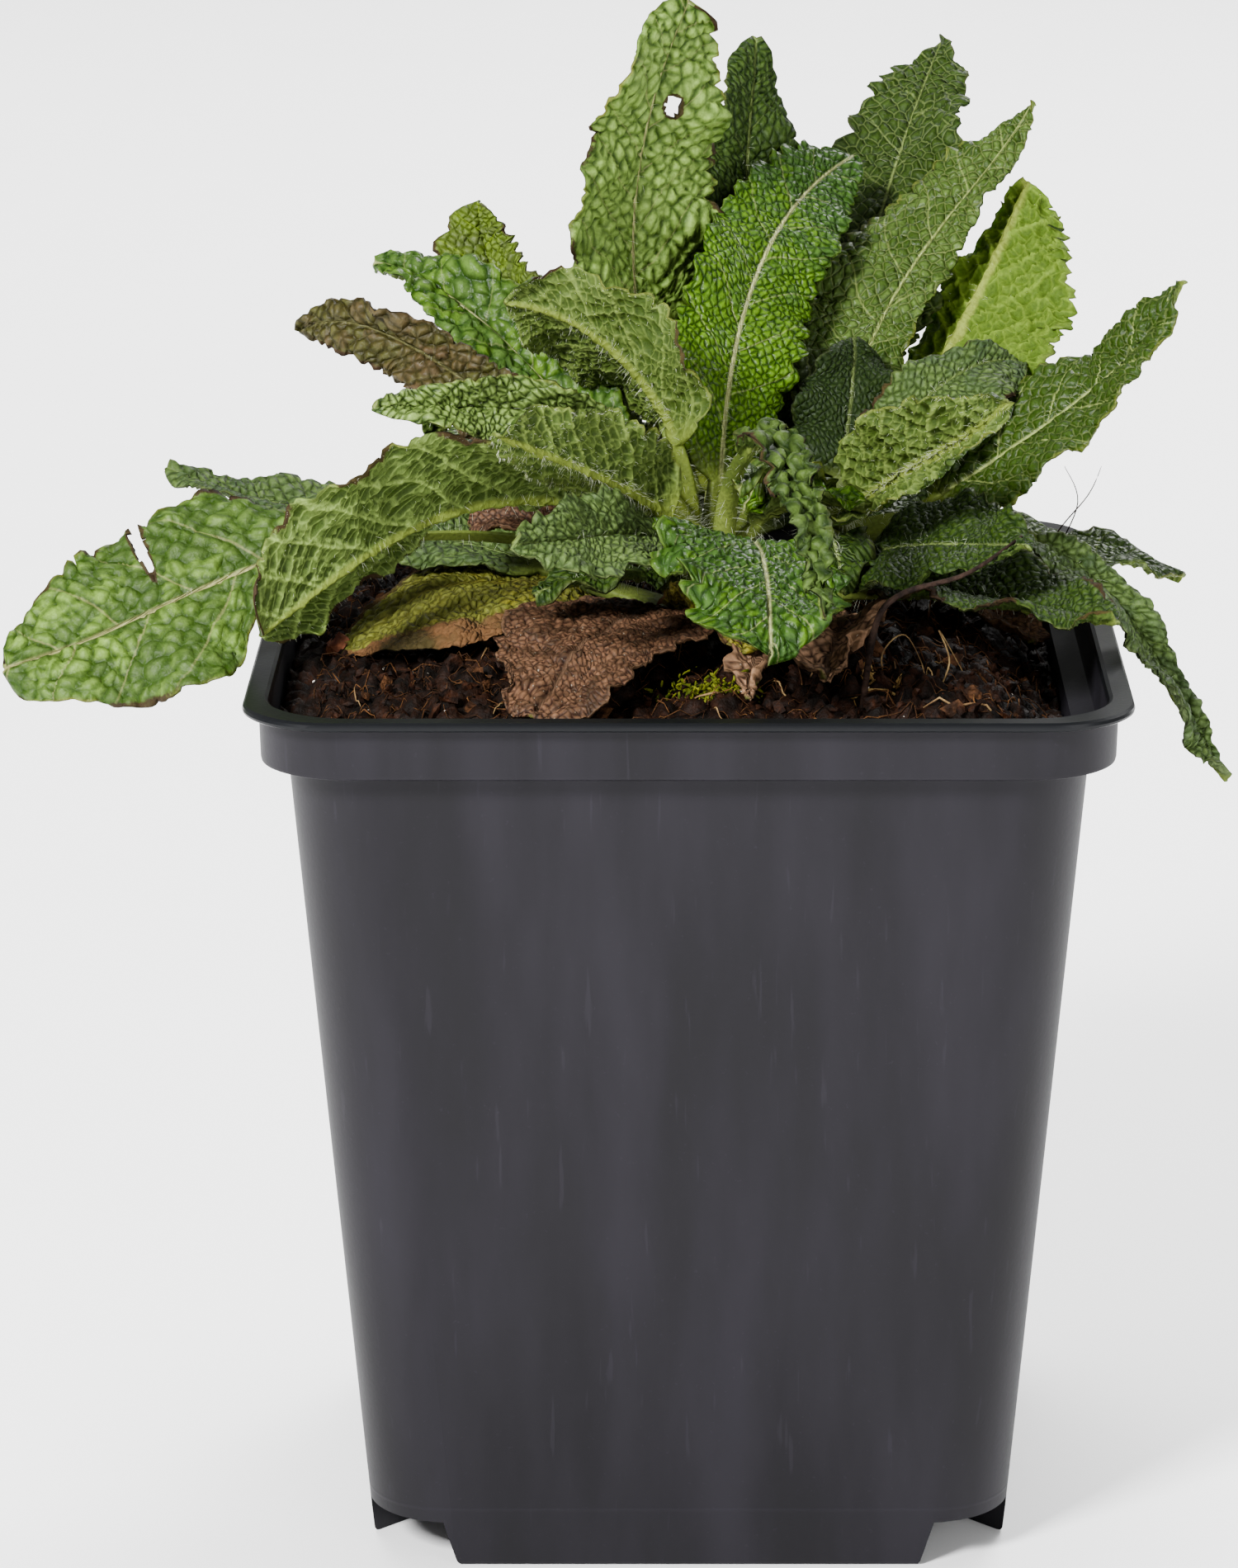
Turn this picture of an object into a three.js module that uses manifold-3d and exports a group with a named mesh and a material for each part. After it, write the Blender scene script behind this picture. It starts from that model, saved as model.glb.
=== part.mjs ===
// A perennial salvia in a square nursery pot: a rosette of wrinkled, round-toothed leaves on three
// short shoots, standing in a mound of peat compost. Millimetres, +Z up, origin on the standing
// surface under the middle of the pot. The plant's front is toward -Y.
import * as THREE from "three";
import { mergeVertices } from "three/addons/utils/BufferGeometryUtils.js";
import Module from "manifold-3d";

const wasm = await Module();
wasm.setup();

// ---- Driving dimensions -------------------------------------------------------------------------

const CLEARANCE = 0.3; // between solids that touch on the real plant
const OVERRUN = 1; // how far a cutting solid passes the face it cuts

const POT = {
  height: 95,
  wall: 1.0,
  floor: 1.2,
  lipHalf: 45, // half the outer width over the lip
  lipThickness: 1.0,
  bandHalf: 43.5, // the band under the lip
  bandTaper: 0.2,
  bandBottom: 88,
  shoulder: 0.7, // height of the step from the body to the band
  bodyTopHalf: 40.7,
  baseHalf: 33.5,
  cornerRadius: 9,
  cornerSteps: 6,
  lipStep: 0.01, // height over which the lip springs from the band
};
const POCKET = {
  height: 5, // how far each corner of the base is raised off the ground
  halfWidth: 6.7, // across the diagonal, at the ground
  draft: 1.0, // how much narrower each side is at the top
  innerReach: 27, // from the pot's axis to the pocket's inner end, along the diagonal
  outerReach: 60,
  drainRadius: 3,
  drainReach: 33,
  drainDepth: 10,
};
const SOIL = {
  middle: 95.5,
  fallToWall: 5.5,
  dip: 3.2, // hollow round the crown
  dipRadius: 8,
  bump: 0.45, // depth of the lumps
  rings: 13,
};
const CROWN = {
  x: 6,
  y: 1.5,
  radius: 7.4,
  top: 91.4,
  bottom: 78,
  root: 6, // height over which the stock narrows to its root
  edge: 1, // height of the rounding at its top
};
const SHOOT = {
  radius: 1.3,
  tipShare: 0.85, // radius at the tip, as a share of the foot's
  sunk: 4, // length below its foot, inside the stock
};
const PETIOLE = {
  half: 1.0,
  seat: 0.35, // between a shoot's bark and the petiole on it
  steepSeat: 0.75, // added where the petiole rises along the shoot
  rows: [0, 0.35, 0.7], // where it has a cross-section, as shares of its length
};
const BLADE = {
  halfThickness: 0.32,
  hookStart: 0.6, // share of the length from which the hook bends it
  wavePhase: 0.17, // how far the two margins' waves are shifted, in turns
  waveStart: 0.15, // share of the blade over which the waves grow
  opens: [-0.02, 0.08], // where the petiole opens into the blade, from the stalk's end
};
const RIB = { halfWidth: 1.15, depth: 0.95, lostAtTip: 0.85 };
const TOOTH = { pitch: 4.4, depth: 0.045, fewest: 3 };
const MIDRIB_STEPS = 60;
const DRY = { tipHalf: 0.8, columns: 5, wavePhase: 0.3 }; // what all fallen leaves share

const MATERIALS = {
  pot: new THREE.MeshStandardMaterial({ color: "#46464b", roughness: 0.5, metalness: 0 }),
  soil: new THREE.MeshStandardMaterial({ color: "#2c1f19", roughness: 1, metalness: 0 }),
  crown: new THREE.MeshStandardMaterial({ color: "#6e7a3c", roughness: 0.8, metalness: 0 }),
  bark: new THREE.MeshStandardMaterial({ color: "#7a4334", roughness: 0.9, metalness: 0 }),
  green: new THREE.MeshStandardMaterial({ color: "#3f6f2c", roughness: 0.7, metalness: 0 }),
  bright: new THREE.MeshStandardMaterial({ color: "#4d8a2f", roughness: 0.65, metalness: 0 }),
  grey: new THREE.MeshStandardMaterial({ color: "#6f8f5a", roughness: 0.75, metalness: 0 }),
  dark: new THREE.MeshStandardMaterial({ color: "#31552b", roughness: 0.75, metalness: 0 }),
  pale: new THREE.MeshStandardMaterial({ color: "#86a04a", roughness: 0.75, metalness: 0 }),
  blue: new THREE.MeshStandardMaterial({ color: "#46685a", roughness: 0.75, metalness: 0 }),
  purple: new THREE.MeshStandardMaterial({ color: "#6b5a44", roughness: 0.8, metalness: 0 }),
  yellow: new THREE.MeshStandardMaterial({ color: "#a49a35", roughness: 0.8, metalness: 0 }),
  brown: new THREE.MeshStandardMaterial({ color: "#5e4433", roughness: 0.95, metalness: 0 }),
};

// Each shoot leans from its foot in the crown to its tip. Tiers count from 0 at the foot to 1.
const SHOOTS = {
  front: { foot: [4, -3, 92], tip: [3, -6.5, 105] },
  right: { foot: [10, 1, 92], tip: [15, 2, 105] },
  rear: { foot: [4, 6, 92], tip: [2.5, 11, 106] },
};

// What a leaf has unless its own line says otherwise. Angles are in degrees.
const PLAIN_LEAF = {
  shoot: "front",
  tier: 0.7, // place along the shoot
  azimuth: 0, // heading seen from above, 0 toward +X and 90 toward +Y
  swing: 0, // change of heading from base to tip
  rise: 45, // slope of the midrib at its base
  droop: 20, // slope lost along the midrib
  hook: 0, // slope lost again over the last stretch
  length: 45,
  stalk: 0.22, // share of the length that is petiole
  width: 15,
  belly: 0.7, // where the blade is widest: 1 in the middle, less toward its base
  taper: 0.58, // less is blunter
  roll: 0, // turn of the blade about its midrib
  twist: 0, // change of roll from base to tip
  fold: 12, // upward slope of each half
  cup: -0.1, // downward curl of the margins
  ruffle: 0.8, // height of the margin's waves
  waves: 3,
  columns: 5,
  tone: "green",
};

const LEAVES = [
  {
    name: "dead_leaf_curled", tone: "brown", shoot: "front", tier: 0.35, azimuth: 182, swing: -9,
    rise: 32, droop: 49, hook: -6, length: 28, stalk: 0.28, width: 10, taper: 0.4, roll: 45,
    twist: -15, fold: 30, columns: 3,
  },
  {
    name: "leaf_far_left", tone: "grey", shoot: "front", tier: 0.5, azimuth: 190, rise: 30,
    droop: 77, hook: -36, length: 77, stalk: 0.25, width: 24, belly: 0.8, taper: 0.45, roll: 38,
    twist: 2, cup: -0.2, waves: 4,
  },
  {
    name: "leaf_left_curled", tone: "green", shoot: "front", tier: 0.85, azimuth: 197, swing: 13,
    rise: 41, droop: 89, hook: -25, length: 54, stalk: 0.25, width: 19, belly: 0.85, taper: 0.42,
    roll: -9, twist: -62, fold: 42,
  },
  {
    name: "leaf_left_behind", tone: "blue", shoot: "front", tier: 0.25, azimuth: 165, swing: -6,
    rise: 16, droop: 15, hook: -19, length: 63, stalk: 0.3, width: 14, roll: 20, twist: -15,
    columns: 3,
  },
  {
    name: "leaf_purple", tone: "purple", shoot: "front", tier: 0.68, azimuth: 176, swing: -21,
    rise: 54, droop: 35, hook: 69, length: 55, stalk: 0.3, width: 12, taper: 0.4, roll: 45,
    twist: 62, fold: 25,
  },
  {
    name: "leaf_upper_left", tone: "bright", shoot: "front", tier: 0.59, azimuth: 149, swing: -8,
    rise: 50, droop: 26, hook: 25, length: 53, stalk: 0.28, width: 13, roll: 61, twist: -40,
    fold: 25,
  },
  {
    name: "leaf_upper_left_behind", tone: "yellow", shoot: "front", tier: 0.82, azimuth: 126,
    swing: 12, rise: 34, droop: -3, hook: -22, length: 51, stalk: 0.3, width: 10, taper: 0.4,
    roll: 39, twist: -3, fold: 30, columns: 3,
  },
  {
    name: "leaf_hood", tone: "green", shoot: "front", tier: 0.93, azimuth: 154, swing: 25, rise: 89,
    droop: 76, hook: 7, length: 35, stalk: 0.2, width: 16, roll: -36, twist: -35, fold: 30,
  },
  {
    name: "leaf_mid_left", tone: "green", shoot: "front", tier: 0.98, azimuth: 206, swing: 6,
    rise: 67, droop: 90, hook: -32, length: 44, stalk: 0.28, width: 11, roll: 87, twist: -75,
    fold: 42,
  },
  {
    name: "leaf_front_left_arched", tone: "green", shoot: "front", tier: 1, azimuth: 234,
    swing: -11, rise: 38, droop: 22, hook: 4, length: 36, stalk: 0.18, width: 14, roll: -32,
    twist: -8, fold: 32,
  },
  {
    name: "leaf_tall_left", tone: "grey", shoot: "rear", tier: 0.94, azimuth: 160, swing: 1,
    rise: 60, droop: -60, hook: 5, length: 56, stalk: 0.38, width: 19, belly: 0.55, taper: 0.4,
    roll: 24, twist: 6, fold: 14, cup: -0.05,
  },
  {
    name: "leaf_tall_middle", tone: "dark", shoot: "rear", tier: 0.62, azimuth: 82, swing: -3,
    rise: 67, droop: 4, hook: -1, length: 56, stalk: 0.3, width: 15, roll: -29, twist: -20,
  },
  {
    name: "leaf_shaded_back", tone: "dark", shoot: "rear", tier: 0.55, azimuth: 117, swing: -8,
    rise: 53, droop: -24, hook: -33, length: 43, stalk: 0.42, width: 12, roll: -53, twist: -48,
    fold: 44, columns: 3,
  },
  {
    name: "leaf_centre", tone: "bright", shoot: "front", tier: 1, azimuth: 89, swing: -36, rise: 65,
    droop: 53, hook: 3, length: 56, stalk: 0.1, width: 15, taper: 0.45, roll: -43, twist: -1,
    fold: 10,
  },
  {
    name: "leaf_tall_right", tone: "dark", shoot: "right", tier: 0.63, azimuth: 81, swing: -14,
    rise: 44, droop: 6, hook: 4, length: 73, stalk: 0.3, width: 18, roll: -12, twist: 24,
  },
  {
    name: "leaf_twisted_right", tone: "green", shoot: "right", tier: 0.83, azimuth: 81, swing: -54,
    rise: 52, droop: 20, hook: -14, length: 59, stalk: 0.2, width: 13, roll: -24, twist: 31,
  },
  {
    name: "leaf_pale_right", tone: "pale", shoot: "right", tier: 0.45, azimuth: 53, swing: 1,
    rise: 40, droop: 5, hook: -9, length: 55, stalk: 0.25, width: 18, roll: 22, twist: -16,
  },
  {
    name: "leaf_front_right_curled", tone: "green", shoot: "right", tier: 1, azimuth: 304, swing: 3,
    rise: 28, droop: -4, hook: -3, length: 33, stalk: 0.12, width: 15, roll: -59, twist: -6,
    fold: 30, cup: -0.05,
  },
  {
    name: "leaf_right_cupped", tone: "blue", shoot: "right", tier: 1, azimuth: 18, swing: 19,
    rise: 75, droop: 72, hook: 18, length: 30, stalk: 0.15, width: 13, roll: -25, twist: 8,
  },
  {
    name: "leaf_spreading_right", tone: "green", shoot: "right", tier: 0.69, azimuth: 6, swing: -13,
    rise: 25, droop: -22, hook: -22, length: 48, stalk: 0.25, width: 16, roll: -32, twist: 15,
  },
  {
    name: "leaf_hanging_right", tone: "blue", shoot: "right", tier: 0.9, azimuth: 341, swing: -20,
    rise: 26, droop: 120, hook: -41, length: 58, stalk: 0.41, width: 11, roll: -29, twist: 60,
    fold: 42, cup: 0,
  },
  {
    name: "leaf_low_right", tone: "dark", shoot: "right", tier: 0.63, azimuth: 307, swing: 1,
    rise: 21, droop: 15, hook: -6, length: 34, stalk: 0.21, width: 15, roll: -33, twist: 2,
    columns: 3,
  },
  {
    name: "leaf_lying_right", tone: "dark", shoot: "right", tier: 0.48, azimuth: 319, swing: -10,
    rise: 6, droop: 4, hook: -4, length: 43, stalk: 0.2, width: 14, roll: -8, twist: -6, fold: 28,
    columns: 3,
  },
  {
    name: "leaf_crumpled_small", tone: "dark", shoot: "front", tier: 1, azimuth: 284, swing: 7,
    rise: 79, droop: 162, hook: -11, length: 45, stalk: 0.33, width: 7, roll: 1, twist: -9,
    fold: 40, columns: 3,
  },
  {
    name: "leaf_fresh_front", tone: "bright", shoot: "front", tier: 0.66, azimuth: 280, swing: -3,
    rise: 44, droop: 87, hook: 1, length: 38, stalk: 0.3, width: 20, belly: 0.75, taper: 0.4,
    roll: 2, twist: -4, ruffle: 1.2, columns: 3,
  },
  {
    name: "leaf_small_front_left", tone: "blue", shoot: "front", tier: 0.72, azimuth: 237,
    swing: -4, rise: 34, droop: 43, hook: -14, length: 36, stalk: 0.25, width: 13, roll: 26,
    twist: 20, columns: 3,
  },
  {
    name: "leaf_rear_1", tone: "green", shoot: "rear", tier: 0.38, azimuth: 161, swing: -25,
    rise: 31, droop: 58, hook: 15, length: 52, stalk: 0.19, width: 17, roll: -19, twist: 42,
    columns: 3,
  },
  {
    name: "leaf_rear_2", tone: "green", shoot: "rear", tier: 0.23, azimuth: 122, swing: -5,
    rise: 32, droop: 50, hook: 6, length: 60, stalk: 0.37, width: 18, roll: -7, twist: 29, fold: 16,
    columns: 3,
  },
  {
    name: "leaf_rear_3", tone: "green", shoot: "rear", tier: 0.35, azimuth: 90, swing: 12, rise: 38,
    droop: 49, hook: -15, length: 54, stalk: 0.19, width: 20, twist: -12, fold: 36, cup: 0.1,
    columns: 3,
  },
  {
    name: "leaf_rear_4", tone: "green", shoot: "right", tier: 0.19, azimuth: 66, rise: 37,
    droop: 54, length: 52, width: 16, roll: -3, twist: -2, columns: 3,
  },
  {
    name: "leaf_rear_5", tone: "green", shoot: "right", tier: 0.29, azimuth: 24, rise: 17,
    droop: 38, length: 46, width: 17, roll: -4, twist: -3, columns: 3,
  },
  {
    name: "leaf_rear_6", tone: "green", shoot: "rear", tier: 0.98, azimuth: 107, swing: -13,
    rise: 47, droop: 47, hook: -18, length: 45, stalk: 0.28, width: 13, roll: -5, twist: 17,
    fold: 44, columns: 3,
  },
  {
    name: "leaf_small_low", tone: "dark", shoot: "right", tier: 0.79, azimuth: 278, swing: -3,
    rise: 36, droop: 82, length: 16, stalk: 0.3, width: 8, twist: -1, columns: 3,
  },
  {
    name: "leaf_left_low", tone: "dark", shoot: "rear", tier: 0.49, azimuth: 152, swing: -24,
    rise: 67, droop: 116, hook: 4, length: 49, stalk: 0.3, width: 11, roll: 16, fold: 44,
    columns: 3,
  },
  {
    name: "leaf_inner_right", tone: "dark", shoot: "right", tier: 1, azimuth: 69, swing: 18,
    rise: 68, droop: 20, hook: -2, length: 20, stalk: 0.2, width: 12, roll: -10, twist: -5,
    columns: 3,
  },
  {
    name: "leaf_bud_right", tone: "bright", shoot: "front", tier: 1, azimuth: 19, swing: -3,
    rise: 75, droop: 54, hook: 4, length: 12, stalk: 0.2, width: 6, columns: 3,
  },
];

// Dead leaves lying on the compost. Each starts at a point on the ground and follows the mound.
const PLAIN_FALLEN = {
  azimuth: 0,
  swing: 0,
  length: 20,
  width: 9,
  belly: 0.8,
  taper: 0.45,
  bed: 0.85, // height of the blade's middle over the mound
  arch: 0, // extra height halfway along
  curl: 1, // rise of the margins
  crumple: 0.5, // height of the blade's waves
  waves: 2,
  tone: "brown",
};

const FALLEN = [
  {
    name: "dead_leaf_flat", at: [-2, -4], azimuth: 243, swing: 6, length: 33, width: 17, arch: 1.5,
  },
  {
    name: "dead_leaf_yellowing", at: [-10, 1], azimuth: 195, length: 25, width: 15, arch: 4,
    curl: -1, tone: "yellow",
  },
  {
    name: "dead_leaf_middle", at: [8, -11], azimuth: 264, length: 19, width: 5, curl: 2,
  },
  {
    name: "dead_leaf_front_right", at: [17, -4], azimuth: 262, length: 23, width: 9, curl: 4,
    crumple: 1.2,
  },
  {
    name: "dead_leaf_right", at: [27, 13], azimuth: 305, length: 17, width: 9, curl: 2,
  },
  {
    name: "dead_leaf_yellow_scrap", at: [0, -11], azimuth: 292, length: 11, width: 5,
    tone: "yellow",
  },
  {
    name: "dead_leaf_rear", at: [12, 14], azimuth: 75, length: 22, width: 11, curl: 2,
  },
];

const BARK_CHIP = { at: [-37.2, -3], size: [4.6, 2.6, 1.4], turn: 25, tilt: 8 };

// ---- Geometry helpers ---------------------------------------------------------------------------

const TURN = 2 * Math.PI;
const QUARTER = TURN / 4;
const radians = THREE.MathUtils.degToRad;
const smoothstep = THREE.MathUtils.smoothstep;

function meshOf(name, geometry, material) {
  const mesh = new THREE.Mesh(geometry, material);
  mesh.name = name;
  return mesh;
}

function solidOf(geometry) {
  const bare = geometry.clone();
  bare.deleteAttribute("normal");
  bare.deleteAttribute("uv");
  const merged = mergeVertices(bare, 1e-4);
  return new wasm.Manifold(
    new wasm.Mesh({
      numProp: 3,
      vertProperties: merged.attributes.position.array,
      triVerts: new Uint32Array(merged.index.array),
    }),
  );
}

function geometryOf(solid) {
  const mesh = solid.getMesh();
  const geometry = new THREE.BufferGeometry();
  geometry.setAttribute("position", new THREE.BufferAttribute(mesh.vertProperties, 3));
  geometry.setIndex(new THREE.BufferAttribute(mesh.triVerts, 1));
  geometry.computeVertexNormals();
  return geometry;
}

function indexedGeometry(points, triangles) {
  const geometry = new THREE.BufferGeometry().setFromPoints(points);
  geometry.setIndex(triangles);
  geometry.computeVertexNormals();
  return geometry;
}

// The pot's square outline with round corners, counter-clockwise seen from above.
function roundedSquare(half) {
  const radius = POT.cornerRadius;
  const points = [];
  for (let corner = 0; corner < 4; corner++) {
    const middle = new THREE.Vector2(half - radius, half - radius);
    middle.rotateAround(new THREE.Vector2(), corner * QUARTER);
    for (let step = 0; step <= POT.cornerSteps; step++) {
      const angle = (corner + step / POT.cornerSteps) * QUARTER;
      points.push([middle.x + radius * Math.cos(angle), middle.y + radius * Math.sin(angle)]);
    }
  }
  return points;
}

// A closed solid through a stack of outlines with equal point counts, from the bottom to the top.
function loft(rings) {
  const count = rings[0].length;
  const points = rings.flat();
  const triangles = [];
  for (let level = 0; level < rings.length - 1; level++) {
    for (let i = 0; i < count; i++) {
      const a = level * count + i;
      const b = level * count + ((i + 1) % count);
      triangles.push(a, b, b + count, a, b + count, a + count);
    }
  }
  const last = (rings.length - 1) * count;
  for (let i = 1; i < count - 1; i++) {
    triangles.push(0, i + 1, i);
    triangles.push(last, last + i, last + i + 1);
  }
  return indexedGeometry(points, triangles);
}

function squareRing([half, z]) {
  return roundedSquare(half).map(([x, y]) => new THREE.Vector3(x, y, z));
}

// Turns a geometry made along +X to one of the pot's four diagonals.
function turnToCorner(geometry, corner) {
  return geometry.rotateZ((corner + 0.5) * QUARTER);
}

// ---- Pot ----------------------------------------------------------------------------------------

// Half-widths of the pot's outside by height, from the ground to the top of the lip.
const OUTSIDE = [
  [POT.baseHalf, 0],
  [POT.bodyTopHalf, POT.bandBottom],
  [POT.bandHalf - POT.bandTaper, POT.bandBottom + POT.shoulder],
  [POT.bandHalf, POT.height - POT.lipThickness],
  [POT.lipHalf, POT.height - POT.lipThickness + POT.lipStep],
  [POT.lipHalf, POT.height],
];

// Half-widths of the space inside the walls, drawn in by an extra clearance for what fills it.
function inside(floorZ, topZ, clearance) {
  const perHeight = (POT.bodyTopHalf - POT.baseHalf) / POT.bandBottom;
  const atFloor = POT.baseHalf + perHeight * floorZ - POT.wall - clearance;
  const ledge = POT.bandBottom + POT.shoulder + clearance;
  const bandInside = POT.bandHalf - POT.bandTaper - POT.wall - clearance;
  return [
    [atFloor, floorZ],
    [POT.bodyTopHalf - POT.wall - clearance, ledge - POT.bandTaper],
    [bandInside, ledge + POT.wall],
    [bandInside + POT.bandTaper, topZ],
  ];
}

// The diagonal pocket under one corner, as a block with drafted sides, grown by a wall or a gap.
function pocketBlock(corner, growth, bottom) {
  const wide = POCKET.halfWidth + growth;
  const narrow = wide - POCKET.draft;
  const inner = POCKET.innerReach - growth;
  const top = POCKET.height + growth;
  const outline = (halfWidth, reach, z) => [
    new THREE.Vector3(reach, -halfWidth, z),
    new THREE.Vector3(POCKET.outerReach, -halfWidth, z),
    new THREE.Vector3(POCKET.outerReach, halfWidth, z),
    new THREE.Vector3(reach, halfWidth, z),
  ];
  const block = loft([outline(wide, inner, bottom), outline(narrow, inner + POCKET.draft, top)]);
  return turnToCorner(block, corner);
}

function drainHole(corner) {
  const { drainRadius: radius, drainDepth: depth } = POCKET;
  const hole = new THREE.CylinderGeometry(radius, radius, depth, 12);
  hole.rotateX(QUARTER);
  hole.translate(POCKET.drainReach, 0, POCKET.height);
  return turnToCorner(hole, corner);
}

function makePot() {
  let shell = solidOf(loft(OUTSIDE.map(squareRing)));
  let space = solidOf(loft(inside(POT.floor, POT.height + OVERRUN, 0).map(squareRing)));
  for (let corner = 0; corner < 4; corner++) {
    space = space.subtract(solidOf(pocketBlock(corner, POT.floor, -OVERRUN)));
  }
  shell = shell.subtract(space);
  for (let corner = 0; corner < 4; corner++) {
    shell = shell.subtract(solidOf(pocketBlock(corner, 0, -OVERRUN)));
    shell = shell.subtract(solidOf(drainHole(corner)));
  }
  return meshOf("pot", geometryOf(shell), MATERIALS.pot);
}

// ---- Soil, crown and litter ---------------------------------------------------------------------

// Height of the compost, a mound with a hollow round the crown.
function moundHeight(x, y) {
  const reach = Math.max(Math.abs(x), Math.abs(y)) / POT.bodyTopHalf;
  const fromCrown = Math.hypot(x - CROWN.x, y - CROWN.y) / SOIL.dipRadius;
  return SOIL.middle - SOIL.fallToWall * reach ** 2 - SOIL.dip * Math.exp(-(fromCrown ** 2));
}

function soilHeight(x, y) {
  const lumps = Math.sin(0.9 * x + 1.3 * Math.sin(0.7 * y)) + Math.sin(1.1 * y + Math.sin(0.8 * x));
  return moundHeight(x, y) + (SOIL.bump * (lumps - 2)) / 2;
}

function makeSoil() {
  const walls = inside(POT.floor + CLEARANCE, POT.height, CLEARANCE).slice(0, -1);
  const [topHalf] = walls.at(-1);
  const rings = walls.map(squareRing);
  for (let ring = 0; ring < SOIL.rings; ring++) {
    const share = 1 - ring / SOIL.rings;
    const place = ([x, y]) => new THREE.Vector3(x * share, y * share, soilHeight(x * share, y * share));
    rings.push(roundedSquare(topHalf).map(place));
  }
  let soil = solidOf(loft(rings));
  for (let corner = 0; corner < 4; corner++) {
    soil = soil.subtract(solidOf(pocketBlock(corner, POT.floor + CLEARANCE, -OVERRUN)));
  }
  const hole = crownStock(CLEARANCE, SOIL.middle + POT.height);
  return meshOf("soil", geometryOf(soil.subtract(solidOf(hole))), MATERIALS.soil);
}

// The root crown's stock: a turned peg whose top is the foot of the shoots.
function crownStock(growth, top) {
  const radius = CROWN.radius + growth;
  const bottom = CROWN.bottom - growth;
  const profile = [
    [0, bottom],
    [radius * 0.5, bottom],
    [radius, bottom + CROWN.root],
    [radius, top - CROWN.edge],
    [radius * 0.7, top],
    [0, top],
  ];
  const stock = new THREE.LatheGeometry(profile.map(([r, z]) => new THREE.Vector2(r, z)), 14);
  stock.rotateX(QUARTER);
  stock.translate(CROWN.x, CROWN.y, 0);
  return stock;
}

function shootGeometry({ foot, tip }) {
  const start = new THREE.Vector3(...foot);
  const end = new THREE.Vector3(...tip);
  const axis = end.clone().sub(start);
  const height = axis.length() + SHOOT.sunk;
  const shoot = new THREE.CylinderGeometry(SHOOT.radius * SHOOT.tipShare, SHOOT.radius, height, 8);
  shoot.translate(0, height / 2 - SHOOT.sunk, 0);
  shoot.applyQuaternion(
    new THREE.Quaternion().setFromUnitVectors(new THREE.Vector3(0, 1, 0), axis.normalize()),
  );
  shoot.translate(...foot);
  return shoot;
}

function makeCrown() {
  let crown = solidOf(crownStock(0, CROWN.top));
  for (const shoot of Object.values(SHOOTS)) crown = crown.add(solidOf(shootGeometry(shoot)));
  return meshOf("crown", geometryOf(crown), MATERIALS.crown);
}

// ---- Leaves -------------------------------------------------------------------------------------

// Half-width of the blade at share t of the whole leaf's length, and the share u along the blade.
function bladeHalf(leaf, t) {
  const u = THREE.MathUtils.clamp((t - leaf.stalk) / (1 - leaf.stalk), 0, 1);
  const half = (leaf.width / 2) * Math.sin(Math.PI * u ** leaf.belly) ** leaf.taper;
  return [Math.max(half || 0, PETIOLE.half), u];
}

function slopeAt(leaf, t) {
  const end = Math.max((t - BLADE.hookStart) / (1 - BLADE.hookStart), 0);
  return radians(leaf.rise - leaf.droop * t - leaf.hook * end ** 2);
}

// The midrib's direction, and the blade's sideways and upward directions, at share t.
function frameAt(leaf, t) {
  const heading = radians(leaf.azimuth + leaf.swing * t);
  const slope = slopeAt(leaf, t);
  const level = Math.cos(slope);
  const along = new THREE.Vector3(level * Math.cos(heading), level * Math.sin(heading), Math.sin(slope));
  const side = new THREE.Vector3(Math.sin(heading), -Math.cos(heading), 0);
  const up = side.clone().cross(along);
  const roll = radians(leaf.roll + leaf.twist * t);
  side.applyAxisAngle(along, -roll);
  up.applyAxisAngle(along, -roll);
  return { along, side, up };
}

function leafRoot(leaf) {
  const foot = new THREE.Vector3(...SHOOTS[leaf.shoot].foot);
  const tip = new THREE.Vector3(...SHOOTS[leaf.shoot].tip);
  const heading = radians(leaf.azimuth);
  const steepness = Math.sin(radians(Math.max(leaf.rise, 0)));
  const offset = SHOOT.radius + PETIOLE.seat + PETIOLE.steepSeat * steepness;
  const outward = new THREE.Vector3(Math.cos(heading), Math.sin(heading), 0);
  return foot.lerp(tip, leaf.tier).addScaledVector(outward, offset);
}

// Shares of the length at which the leaf has a cross-section: a few down the petiole, then two a tooth.
function stations(leaf) {
  const blade = leaf.length * (1 - leaf.stalk);
  const teeth = Math.max(TOOTH.fewest, Math.round(blade / TOOTH.pitch));
  const list = PETIOLE.rows.map((share) => leaf.stalk * share);
  for (let i = 0; i <= 2 * teeth; i++) list.push(leaf.stalk + ((1 - leaf.stalk) * i) / (2 * teeth));
  return list;
}

// Points on the midrib at the given shares, by stepping along its changing direction.
function midrib(leaf, shares) {
  const track = [leafRoot(leaf)];
  for (let i = 0; i < MIDRIB_STEPS; i++) {
    const { along } = frameAt(leaf, (i + 0.5) / MIDRIB_STEPS);
    track.push(track[i].clone().addScaledVector(along, leaf.length / MIDRIB_STEPS));
  }
  return shares.map((t) => {
    const i = Math.min(Math.floor(t * MIDRIB_STEPS), MIDRIB_STEPS - 1);
    return track[i].clone().lerp(track[i + 1], t * MIDRIB_STEPS - i);
  });
}

// How far the margin stands out or in at a row, as a share of the half-width: rows alternate
// between a tooth and a notch, and only the outermost columns, at q = -1 and 1, have them.
function toothAt(row, q) {
  if (Math.abs(q) < 1) return 0;
  return row % 2 ? TOOTH.depth : -TOOTH.depth;
}

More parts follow.
